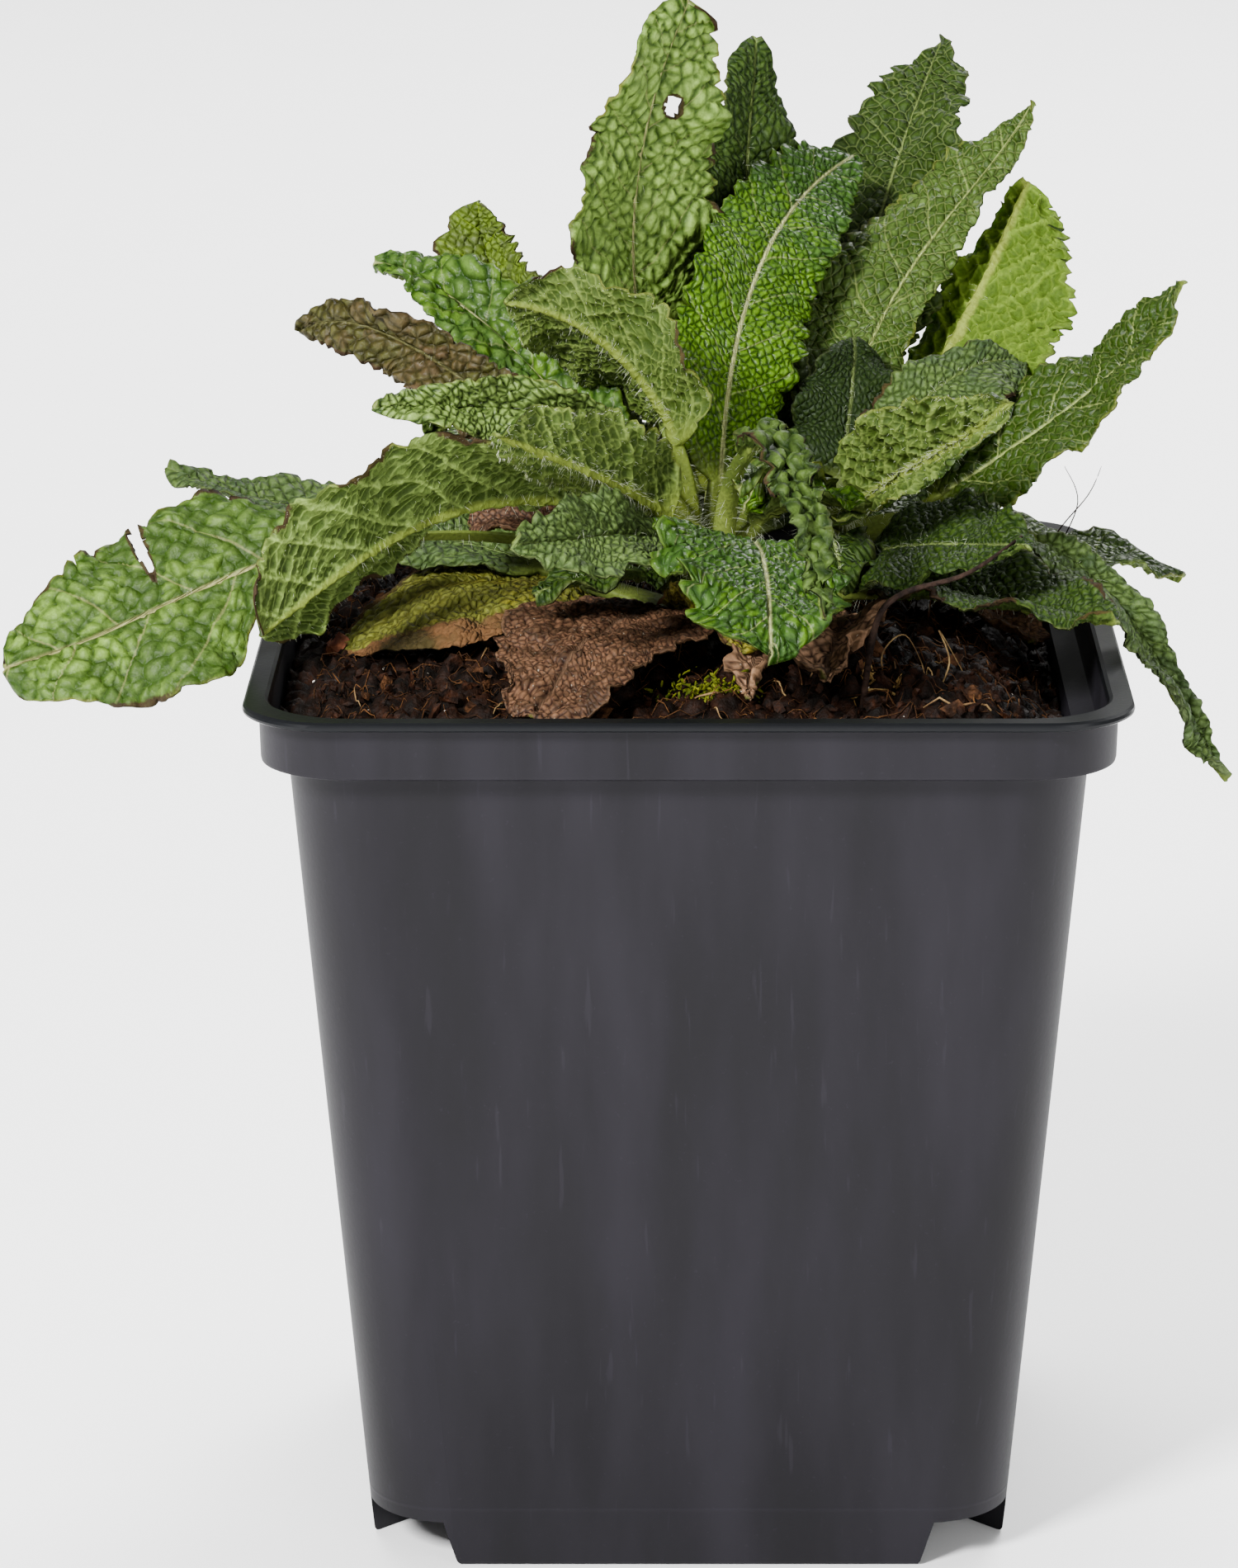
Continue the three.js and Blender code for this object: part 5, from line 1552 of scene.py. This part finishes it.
class Earth:
    """Finishes of what lies in the pot besides the leaves."""

    PEAT = EarthFinish("moist_peat", paint(10, 6, 4), paint(38, 20, 11), roughness=0.65)
    CLOD = EarthFinish("peat_clods", paint(12, 7, 5), paint(54, 29, 15), patch=1.5, roughness=0.65)
    FIBRE = EarthFinish("peat_fibres", paint(34, 20, 12), paint(112, 74, 40), patch=4)
    ROOT = EarthFinish("pale_rootlets", paint(96, 72, 48), paint(168, 140, 92), patch=3, depth=0.1)
    GRIT = EarthFinish("white_grit", paint(180, 172, 160), paint(238, 234, 226), depth=0.1)
    BARK = EarthFinish(
        "reddish_bark", paint(70, 36, 26), paint(150, 92, 64), patch=1.2, stretch=(1, 0.25, 1)
    )
    STOCK = EarthFinish(
        "woody_crown", paint(70, 56, 34), paint(130, 124, 64), patch=2, stretch=(1, 1, 0.3)
    )
    SHOOT = EarthFinish(
        "green_shoot", paint(104, 116, 56), paint(150, 158, 84), patch=1.5, depth=0.08,
        roughness=0.5, stretch=(1, 1, 0.3),
    )
    MOSS = EarthFinish("moss", paint(52, 62, 10), paint(128, 130, 24), patch=1)
    FLAKE = EarthFinish("leaf_flakes", paint(30, 18, 11), paint(104, 68, 42), patch=1.8)
    TWIG = EarthFinish("dark_twig", paint(22, 15, 12), paint(58, 42, 34), patch=1)
    STRAW = EarthFinish("straw_chips", paint(120, 92, 48), paint(196, 164, 104), patch=1.5)


@dataclass
class Compost:
    """The compost, with its clods, fibres, grit and bark, in millimetres."""

    half: float = 41.9  # of its top, across the pot's band
    corner: float = 0.0647  # share by which its corners are drawn in
    ledge_half: float = 39.2
    ledge: float = 88.2
    base_half: float = 32.5
    base: float = 6.7
    count: int = 200  # points along each side of its top
    grain_half: float = 39  # of the square that grains lie in
    fibre_half: float = 38.6  # and of the one that fibres keep to
    chip_share: float = 0.42  # half-widths of the bark chip over its solid's box

    def outline(self, u: Array, v: Array, half: float) -> tuple[Array, Array]:
        """A square of points u, v from -1 to 1, drawn in at its corners by (u^2 v^2)^4.

        It stays within the ledge on the right, where the compost is lower.

        Args:
            u, v: the points.
            half: half the width of the square.

        Returns:
            Their places along X and Y.
        """
        round_off = 1 - self.corner * (u * u * v * v) ** 4
        inner = min(half, self.ledge_half) * round_off
        outer = half * round_off
        return u * np.where(u > 0, inner, outer), v * (outer + (inner - outer) * ease(u, 0.7, 0.85))

    def surface(self) -> Cloth:
        """Its closed solid: the rough top, two rings down the pot's wall, and a flat base.

        Returns:
            The solid.
        """
        line = np.linspace(-1, 1, self.count)
        u, v = np.meshgrid(line, line, indexing="ij")
        x, y = self.outline(u, v, self.half)
        z = MOUND.rough(x, y)
        number, top = tiles(self.count, self.count)
        rim = np.concatenate([number[:-1, 0], number[-1, :-1], number[:0:-1, -1], number[0, :0:-1]])
        points, faces, ring = [np.stack([x, y, z], -1).reshape(-1, 3)], [top], rim
        under = np.minimum(z.ravel()[rim] - 0.8, self.ledge)
        for half, height in ((self.ledge_half, under), (self.base_half, self.base + 0 * under)):
            low_x, low_y = self.outline(u.ravel()[rim], v.ravel()[rim], half)
            points.append(np.stack([low_x, low_y, height], -1))
            low = sum(len(p) for p in points[:-1]) + np.arange(len(rim))
            faces.append(np.stack([low, np.roll(low, -1), np.roll(ring, -1), ring], -1))
            ring = low
        middle = sum(len(p) for p in points)
        points.append(np.array([[0, 0, self.base]]))
        faces.append(np.stack([np.roll(ring, -1), ring, np.full(len(ring), middle)], -1))
        return Cloth(np.concatenate(points), faces)

    def scattered(self, count: int, salt: int, low: float, high: float) -> tuple[Array, Array]:
        """Random places on the surface, and sizes from low to high with few large ones.

        Args:
            count: how many.
            salt: seeds them.
            low, high: the least and the largest size.

        Returns:
            Places, count by 3, and their sizes.
        """
        random = np.random.default_rng(salt)
        x, y = self.outline(*random.uniform(-1, 1, (2, count)), self.grain_half)
        size = low + (high - low) * random.random(count) ** 2.5
        return np.stack([x, y, MOUND.rough(x, y)], -1), size

    def crumbs(self, count: int, salt: int, low: float, high: float, flat: float = 1) -> Cloth:
        """Rough grains, half sunk in the surface, or thin flakes of them.

        Args:
            count: how many.
            salt: seeds them.
            low, high: the least and the largest size.
            flat: their height over that of a grain.

        Returns:
            All of them as one piece.
        """
        spots, size = self.scattered(count, salt, low, high)
        random = np.random.default_rng(salt + 1)
        sizes = size[:, None] * random.uniform(0.35, 1.1, (count, 3)) * (1, 1, flat)
        return lumps(spots + np.array([0, 0, 0.25]) * size[:, None], sizes, salt)

    def fibres(self, count: int, salt: int, length: float, radius: float) -> Cloth:
        """Curving threads that lie on the surface: their heading wanders as they run.

        Args:
            count: how many.
            salt: seeds them.
            length: of the longest.
            radius: at the middle of a usual one.

        Returns:
            All of them as one piece.
        """
        spots, size = self.scattered(count, salt, 0.25, 1.0)
        random = np.random.default_rng(salt + 1)
        steps = 6
        heading = random.uniform(0, 2 * math.pi, (count, 1))
        heading = heading + np.cumsum(random.normal(0, 0.35, (count, steps)), axis=1)
        pace = (size * length / steps)[:, None]
        x = spots[:, :1] + np.cumsum(np.cos(heading) * pace, axis=1)
        y = spots[:, 1:2] + np.cumsum(np.sin(heading) * pace, axis=1)
        u, v = (np.clip(place / self.grain_half, -1, 1) for place in (x, y))
        x, y = self.outline(u, v, self.fibre_half)
        lift = random.uniform(0.1, 0.9, (count, 1)) * np.sin(np.linspace(0.1, 3.0, steps))
        paths = np.stack([x, y, MOUND.rough(x, y) + 0.12 + lift], -1)
        radii = radius * (0.5 + size[:, None]) * (1 - 0.6 * np.linspace(-1, 1, steps) ** 2)
        return strands(paths, radii)

    def build(self) -> None:
        """Makes the compost and what is mixed into it."""
        self.surface().piece("compost", Earth.PEAT.made(), "soil", "soil")
        clods = self.crumbs(count=1600, salt=51, low=0.2, high=1.4)
        clods.piece("clods", Earth.CLOD.made(), "soil")
        grit = self.crumbs(count=160, salt=53, low=0.1, high=0.32)
        grit.piece("grit", Earth.GRIT.made(), "soil")
        fibres = self.fibres(count=1300, salt=55, length=8, radius=0.07)
        fibres.piece("fibres", Earth.FIBRE.made(), "soil")
        rootlets = self.fibres(count=46, salt=57, length=14, radius=0.13)
        rootlets.piece("rootlets", Earth.ROOT.made(), "crown")
        low, high = (np.array(corner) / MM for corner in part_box("bark_chip"))
        chip = lumps((low + high)[None] / 2, sizes=(high - low)[None] * self.chip_share, salt=61)
        chip.piece("bark_flake", Earth.BARK.made(), "bark", "bark_chip")


@dataclass
class Litter:
    """What lies on the compost: moss, straw, leaf flakes, a twig, threads and two wiry stems."""

    moss_at: tuple[float, float] = (2.5, -25.5)
    straw_at: tuple[float, float] = (17, -22)
    twig: tuple[Spot, ...] = (
        (17.5, -28.0, 89.5), (18.8, -30.4, 100.8), (21.4, -29.6, 104.4), (28.2, -28.0, 106.2),
        (34.0, -24.0, 109.2),
    )
    threads: tuple[tuple[Spot, ...], ...] = (
        ((21.0, -19.0, 91.0), (20.0, -18.0, 95.0), (22.5, -17.0, 97.0), (25.0, -16.0, 92.0)),
        ((25.0, -21.0, 90.5), (27.0, -19.0, 94.5), (26.0, -17.0, 97.5), (29.0, -16.0, 92.0)),
        ((11.0, -20.0, 91.5), (13.0, -19.5, 94.0), (12.5, -18.0, 96.5), (15.0, -17.0, 92.0)),
    )
    wires: tuple[tuple[Spot, ...], ...] = (
        ((37.0, 18.0, 90.0), (39.5, 16.0, 99.0), (43.3, 14.0, 104.8), (44.7, 14.0, 108.0)),
        ((37.0, 17.0, 90.0), (40.0, 15.0, 98.0), (42.2, 14.0, 104.0), (40.7, 14.0, 108.0)),
    )

    def heap(self, at: Sequence[float], count: int, size: Spot, spread: Spot, salt: int) -> Cloth:
        """A small heap of grains round a place: their spread is normal, and they sit on the mound.

        Args:
            at: the place.
            count: how many.
            size: half-widths of a grain.
            spread: how widely they lie.
            salt: seeds them.

        Returns:
            The grains as one piece.
        """
        random = np.random.default_rng(salt)
        spot = np.array([*at, 0]) + random.normal(size=(count, 3)) * spread
        spot[:, 2] = np.abs(spot[:, 2]) + MOUND.rough(spot[:, 0], spot[:, 1])
        return lumps(spot, np.array(size) * random.uniform(0.5, 1.3, (count, 1)), salt + 1)

    def lines(self, knots: Sequence[Sequence[Spot]], radius: float, steps: int) -> Cloth:
        """Thin tubes through knots: a Catmull-Rom curve, by its four cubic weights.

        Args:
            knots: for each tube, the points that it runs through.
            radius: at its start.
            steps: rings along it.

        Returns:
            The tubes as one piece.
        """
        path = np.array(knots, float)
        path = np.concatenate([path[:, :1], path, path[:, -1:]], axis=1)
        u = np.linspace(0, path.shape[1] - 3, steps)
        k = np.minimum(u.astype(int), path.shape[1] - 4)
        f = (u - k)[None, :, None]
        a, b, c, d = (path[:, k + shift] for shift in range(4))
        curve = b + 0.5 * f * (c - a + f * (2 * a - 5 * b + 4 * c - d + f * (3 * (b - c) + d - a)))
        radii = radius * (1 - 0.6 * np.linspace(0, 1, steps) ** 2) * np.ones((len(path), 1))
        return strands(curve, radii, 7)

    def build(self) -> None:
        """Makes every piece."""
        moss = self.heap(self.moss_at, 240, size=(0.16, 0.16, 0.55), spread=(2.2, 1.1, 0.7), salt=81)
        moss.piece("moss", Earth.MOSS.made(), "soil")
        straw = self.heap(self.straw_at, 26, size=(0.16, 0.16, 1.1), spread=(5.0, 2.5, 0.3), salt=83)
        straw.piece("straw", Earth.STRAW.made(), "soil")
        flakes = Compost().crumbs(count=220, salt=85, low=0.4, high=2.2, flat=0.14)
        flakes.piece("leaf_flakes", Earth.FLAKE.made(), "soil")
        twig = self.lines([self.twig], radius=0.36, steps=26)
        twig.piece("twig", Earth.TWIG.made(), "crown")
        threads = self.lines(self.threads, radius=0.1, steps=22)
        threads.piece("threads", Earth.ROOT.made(), "crown")
        wires = self.lines(self.wires, radius=0.09, steps=22)
        wires.piece("wires", Earth.TWIG.made(), "crown")


@dataclass
class Crown:
    """The woody crown and its three green shoots, in millimetres."""

    at: tuple[float, float] = MOUND.dip_at
    radius: float = 7.4
    top: float = 91.6
    bottom: float = 78.0
    shoot_radius: float = 1.35
    sunk: float = 4.0

    def stock(self) -> Cloth:
        """A lumpy stump: its radius follows a rounded profile of height, with bumps round it.

        Returns:
            The stump.
        """
        angle = np.linspace(0, 2 * math.pi, 72, endpoint=False)[None]
        rise = np.linspace(0, 1, 24)[:, None]
        profile = self.radius * np.sqrt(np.clip(1 - (2 * rise - 1) ** 6, 0.04, 1))
        lump = 1 + 0.16 * cloud(np.cos(angle) * 2 + 5, np.sin(angle) * 2 + rise * 4, 71)
        radius = np.minimum(profile * lump, self.radius * 1.08)
        x = self.at[0] + radius * np.cos(angle)
        y = self.at[1] + radius * np.sin(angle)
        z = self.bottom + (self.top - self.bottom) * (rise + 0 * angle)
        return solid(np.stack([x, y, z], -1))

    def shoots(self) -> Cloth:
        """A round stem from under each shoot's foot to its tip, narrowing to a blunt end.

        Returns:
            The three stems as one piece.
        """
        share = np.linspace(0, 1, 16)[:, None]
        paths = []
        for shoot in Shoot:
            foot, tip = (np.array(end, float) for end in shoot.value)
            foot = foot - unit(tip - foot) * self.sunk
            paths.append(foot + (tip - foot) * share)
        radii = self.shoot_radius * (1 - 0.2 * share.T) * np.sqrt(1 - 0.6 * share.T**16)
        return strands(np.array(paths), np.repeat(radii, len(paths), axis=0), 18)

    def build(self) -> None:
        """Makes both."""
        self.stock().piece("stump", Earth.STOCK.made(), "crown", "crown")
        self.shoots().piece("shoots", Earth.SHOOT.made(), "crown", "crown")


@dataclass
class Pot:
    """The moulded pot: a square tapered shell with a band and a lip, in millimetres.

    A round-cornered square outline is carried up a profile of half-widths. Its inside is cut out,
    and then a raised pocket under each corner and a drain hole through each pocket's inner end.
    """

    corner: float = 9.0  # radius of its upright corners
    side_points: int = 12
    corner_points: int = 26
    pocket_height: float = 5.0
    pocket_half: float = 6.7
    draft: float = 1.0  # how far a pocket's walls lean in over their height
    inner_reach: float = 27.0  # from the pot's axis to a pocket's inner end
    outer_reach: float = 60.0
    floor: float = 1.2
    drain: float = 3.0  # radius of a drain hole
    drain_reach: float = 33.0
    sharp: float = 28  # degrees between faces that meet in a sharp edge
    outside: tuple[tuple[float, float], ...] = (
        (33.0, 0.0), (33.36, 0.12), (33.55, 0.5), (37.1, 44.0), (40.66, 87.5), (40.8, 87.95),
        (41.2, 88.2), (42.9, 88.55), (43.25, 88.75), (43.33, 89.1), (43.45, 93.5), (43.55, 93.85),
        (43.9, 94.0), (44.7, 94.05), (44.95, 94.25), (45.0, 94.5), (44.93, 94.8), (44.7, 95.0),
    )
    inside: tuple[tuple[float, float], ...] = (
        (32.4, 1.2), (32.65, 1.5), (36.1, 44.0), (39.65, 88.0), (39.75, 88.6), (42.1, 89.5),
        (42.32, 89.9), (42.45, 94.2), (42.58, 94.7), (42.9, 95.0), (43.6, 95.6), (43.7, 96.0),
    )

    def outline(self) -> Array:
        """The outline at half-width 1 as straight and round parts: a corner point and a spoke.

        A point at half-width h is corner * (h - radius) + spoke * radius.

        Returns:
            Points by 4: the two coordinates of each.
        """
        angle = np.linspace(0, math.pi / 2, self.corner_points)
        spoke = np.stack([np.cos(angle), np.sin(angle)], -1)
        square = np.ones_like(spoke)
        slide = np.linspace(1, -1, self.side_points + 2)[1:-1]
        side = np.stack([slide, np.ones_like(slide)], -1)
        quarter = np.concatenate([
            np.concatenate([square, spoke], -1),
            np.concatenate([side, np.tile([0.0, 1.0], (len(slide), 1))], -1),
        ])
        turns = [np.array([[c, s], [-s, c]]) for c, s in ((1, 0), (0, 1), (-1, 0), (0, -1))]
        return np.concatenate([(quarter.reshape(-1, 2, 2) @ turn).reshape(-1, 4) for turn in turns])

    def loft(self, profile: Sequence[tuple[float, float]]) -> Cloth:
        """A closed solid through the profile's outlines, with flat ends.

        Args:
            profile: half-widths and heights, from the bottom up.

        Returns:
            The solid.
        """
        half, height = (np.array(column)[:, None, None] for column in zip(*profile))
        line = self.outline()[None]
        flat = line[..., :2] * (half - self.corner) + line[..., 2:] * self.corner
        return solid(np.concatenate([flat, height + 0 * flat[..., :1]], -1))

    def block(self, growth: float) -> Cloth:
        """The four pockets as drafted blocks along the diagonals, grown by a wall.

        Args:
            growth: the wall's thickness, or 0 for the pockets themselves.

        Returns:
            The blocks as one piece.
        """
        wide, narrow = self.pocket_half + growth, self.pocket_half + growth - self.draft
        near, top = self.inner_reach - growth, self.pocket_height + growth
        corners = [
            (reach, side * half, height)
            for half, inner, height in ((wide, near, -1.0), (narrow, near + self.draft, top))
            for reach, side in ((inner, -1), (self.outer_reach, -1), (self.outer_reach, 1), (inner, 1))
        ]
        cube = [(3, 2, 1, 0), (4, 5, 6, 7), (0, 1, 5, 4), (1, 2, 6, 5), (2, 3, 7, 6), (3, 0, 4, 7)]
        return self.turned(Cloth(np.array(corners), [np.array(cube)]))

    def holes(self) -> Cloth:
        """The four drain holes as upright cylinders.

        Returns:
            The cylinders as one piece.
        """
        angle = np.linspace(0, 2 * math.pi, 40, endpoint=False)
        x = self.drain_reach + self.drain * np.cos(angle)
        y = self.drain * np.sin(angle)
        ends = (0.0, 2 * self.pocket_height)
        return self.turned(solid(np.stack([np.stack([x, y, 0 * x + z], -1) for z in ends])))

    @staticmethod
    def turned(part: Cloth) -> Cloth:
        """Four copies of a part made along +X, one on each diagonal.

        Args:
            part: the first.

        Returns:
            The four as one.
        """
        points, faces = [], []
        for corner in range(4):
            angle = (corner + 0.5) * math.pi / 2
            cosine, sine = math.cos(angle), math.sin(angle)
            moved = part.points.copy()
            moved[:, :2] = moved[:, :2] @ np.array([[cosine, sine], [-sine, cosine]])
            points.append(moved)
            faces += [face + corner * len(moved) for face in part.faces]
        return Cloth(np.concatenate(points), faces)

    @staticmethod
    def cut(body: bpy.types.Object, *helpers: bpy.types.Object) -> None:
        """Cuts helpers out of a body, one after the other, and removes them.

        Args:
            body: what is cut, which keeps the result as its mesh.
            helpers: the solids that are cut out.
        """
        for helper in helpers:
            cutter = body.modifiers.new(helper.name, "BOOLEAN")
            cutter.operation, cutter.solver, cutter.object = "DIFFERENCE", "EXACT", helper
        graph = bpy.context.evaluated_depsgraph_get()
        graph.update()
        result = bpy.data.meshes.new_from_object(body.evaluated_get(graph))
        body.modifiers.clear()
        body.data = result
        for helper in helpers:
            bpy.data.objects.remove(helper)

    def build(self) -> None:
        """Makes the shell and gives it its plastic."""
        space = self.loft(self.inside).bare("space")
        self.cut(space, self.block(self.floor).bare("raised_floor"))
        shell = self.loft(self.outside).piece("shell", PlasticFinish().made(), "pot", "pot")
        self.cut(shell, space, self.block(0).bare("pockets"), self.holes().bare("drains"))
        shell.data.shade_smooth()
        shell.data.set_sharp_from_angle(angle=math.radians(self.sharp))


@dataclass(frozen=True)
class PlasticFinish:
    """Dark grey moulded polypropylene, satin on the walls and glossier on the lip."""

    name: str = "pot_plastic"
    wall: Colour = paint(19, 18, 21)
    scuff: Colour = paint(34, 32, 38)
    lip: Colour = paint(15, 16, 18)
    crease: float = 6.5  # height of the faint line round the foot, in millimetres
    lip_edge: tuple[float, float] = (93.7, 94.1)  # heights between which the lip's tone sets in

    def made(self) -> bpy.types.Material:
        """Builds the material: faint upright drag marks, scratches, specks and a darker lip.

        Returns:
            The material.
        """
        r = Recipe(self.name)
        drag = r.grain(9, 4, (1, 1, 0.2))
        scratch = r.grain(0.8, 2, (1, 1, 0.02)).over(0.66, 0.74)
        speck = r.grain(0.5, 2)
        height = r.height()
        off = r.node("ShaderNodeMath", {"operation": "ABSOLUTE"}, {0: height - self.crease * MM})
        crease = 1 - off.over(0.0, 0.3 * MM)
        light = drag.over(0.3, 0.8) * 0.55 + scratch * 0.3 + speck.over(0.68, 0.74) * 0.3
        colour = r.blend(light + crease * 0.15, self.wall, self.scuff)
        is_lip = height.over(*(edge * MM for edge in self.lip_edge))
        colour = r.blend(is_lip, colour, self.lip)
        gloss = drag * 0.16 + speck * 0.06 + 0.4 - is_lip * 0.18
        return r.done(
            Base_Color=colour, Roughness=gloss, Specular_IOR_Level=0.1,
            Normal=r.bump(speck * 0.3 + crease * 0.5, 0.04),
        )


@dataclass
class Studio:
    """Pale floor, soft lights and the camera, in metres."""

    camera_at: Spot = (0.0, -0.616, 0.249)
    pitch: float = 74.33  # degrees up from straight down
    lens: float = 136.7
    shift: float = -0.0444
    floor_half: float = 3.0
    sky: float = 0.48  # strength of the white world

    def lamp(
        self, name: str, at: Spot, aim: Spot, power: float, size: float,
        only: bpy.types.Object | None = None,
    ) -> None:
        """A square soft light at a place, turned toward another, which may light one object only.

        Args:
            name: the light's name.
            at, aim: the two places.
            power: in watts.
            size: the square's side.
            only: the one object.
        """
        data = bpy.data.lights.new(name, "AREA")
        data.energy, data.size = power, size
        made = bpy.data.objects.new(name, data)
        made.location = at
        direction = Vector(aim) - Vector(at)
        made.rotation_euler = direction.to_track_quat("-Z", "Y").to_euler()
        bpy.context.scene.collection.objects.link(made)
        if only:
            lit = bpy.data.collections.new(f"lit_by_{name}")
            lit.objects.link(only)
            made.light_linking.receiver_collection = lit

    def build(self) -> None:
        """Makes the floor, the world, four lamps and the camera."""
        line = np.linspace(-1, 1, 17) * self.floor_half / MM
        x, y = np.meshgrid(line, line, indexing="ij")
        floor = Cloth(np.stack([x, y, 0 * x], -1).reshape(-1, 3), [tiles(*x.shape)[1]]).bare("floor")
        r = Recipe("pale_floor")
        tone = r.blend(r.grain(40), (0.93, 0.93, 0.93), (0.96, 0.96, 0.96))
        floor.data.materials.append(r.done(Base_Color=tone, Roughness=0.7))
        world = bpy.data.worlds.new("studio")
        world.use_nodes = True
        backdrop = world.node_tree.nodes["Background"]
        backdrop.inputs["Color"].default_value = (1, 1, 1, 1)
        backdrop.inputs["Strength"].default_value = self.sky
        bpy.context.scene.world = world
        self.lamp("key", (-0.55, -0.75, 0.75), aim=(0, 0, 0.1), power=38, size=0.25)
        self.lamp("fill", (0.65, -0.8, 0.32), aim=(0, 0, 0.06), power=7, size=0.6)
        self.lamp("rim", (0.35, 0.9, 0.8), aim=(0, 0, 0.1), power=9, size=0.4)
        self.lamp("sweep", (0.0, 0.9, 1.6), aim=(0, 0.6, 0), power=90, size=1.6, only=floor)
        camera = bpy.data.cameras.new("camera")
        camera.lens, camera.shift_x = self.lens, self.shift
        camera.clip_start, camera.clip_end = 0.02, 20
        holder = bpy.data.objects.new("camera", camera)
        holder.location = self.camera_at
        holder.rotation_euler = (math.radians(self.pitch), 0, 0)
        bpy.context.scene.collection.objects.link(holder)
        bpy.context.scene.camera = holder


def main() -> None:
    """Builds every sub-assembly in order."""
    logging.basicConfig(level=logging.INFO, format="%(message)s", stream=sys.stdout)
    for part in (Studio(), Pot(), Compost(), Litter(), Crown(), Foliage()):
        part.build()


if __name__ == "__main__":
    main()
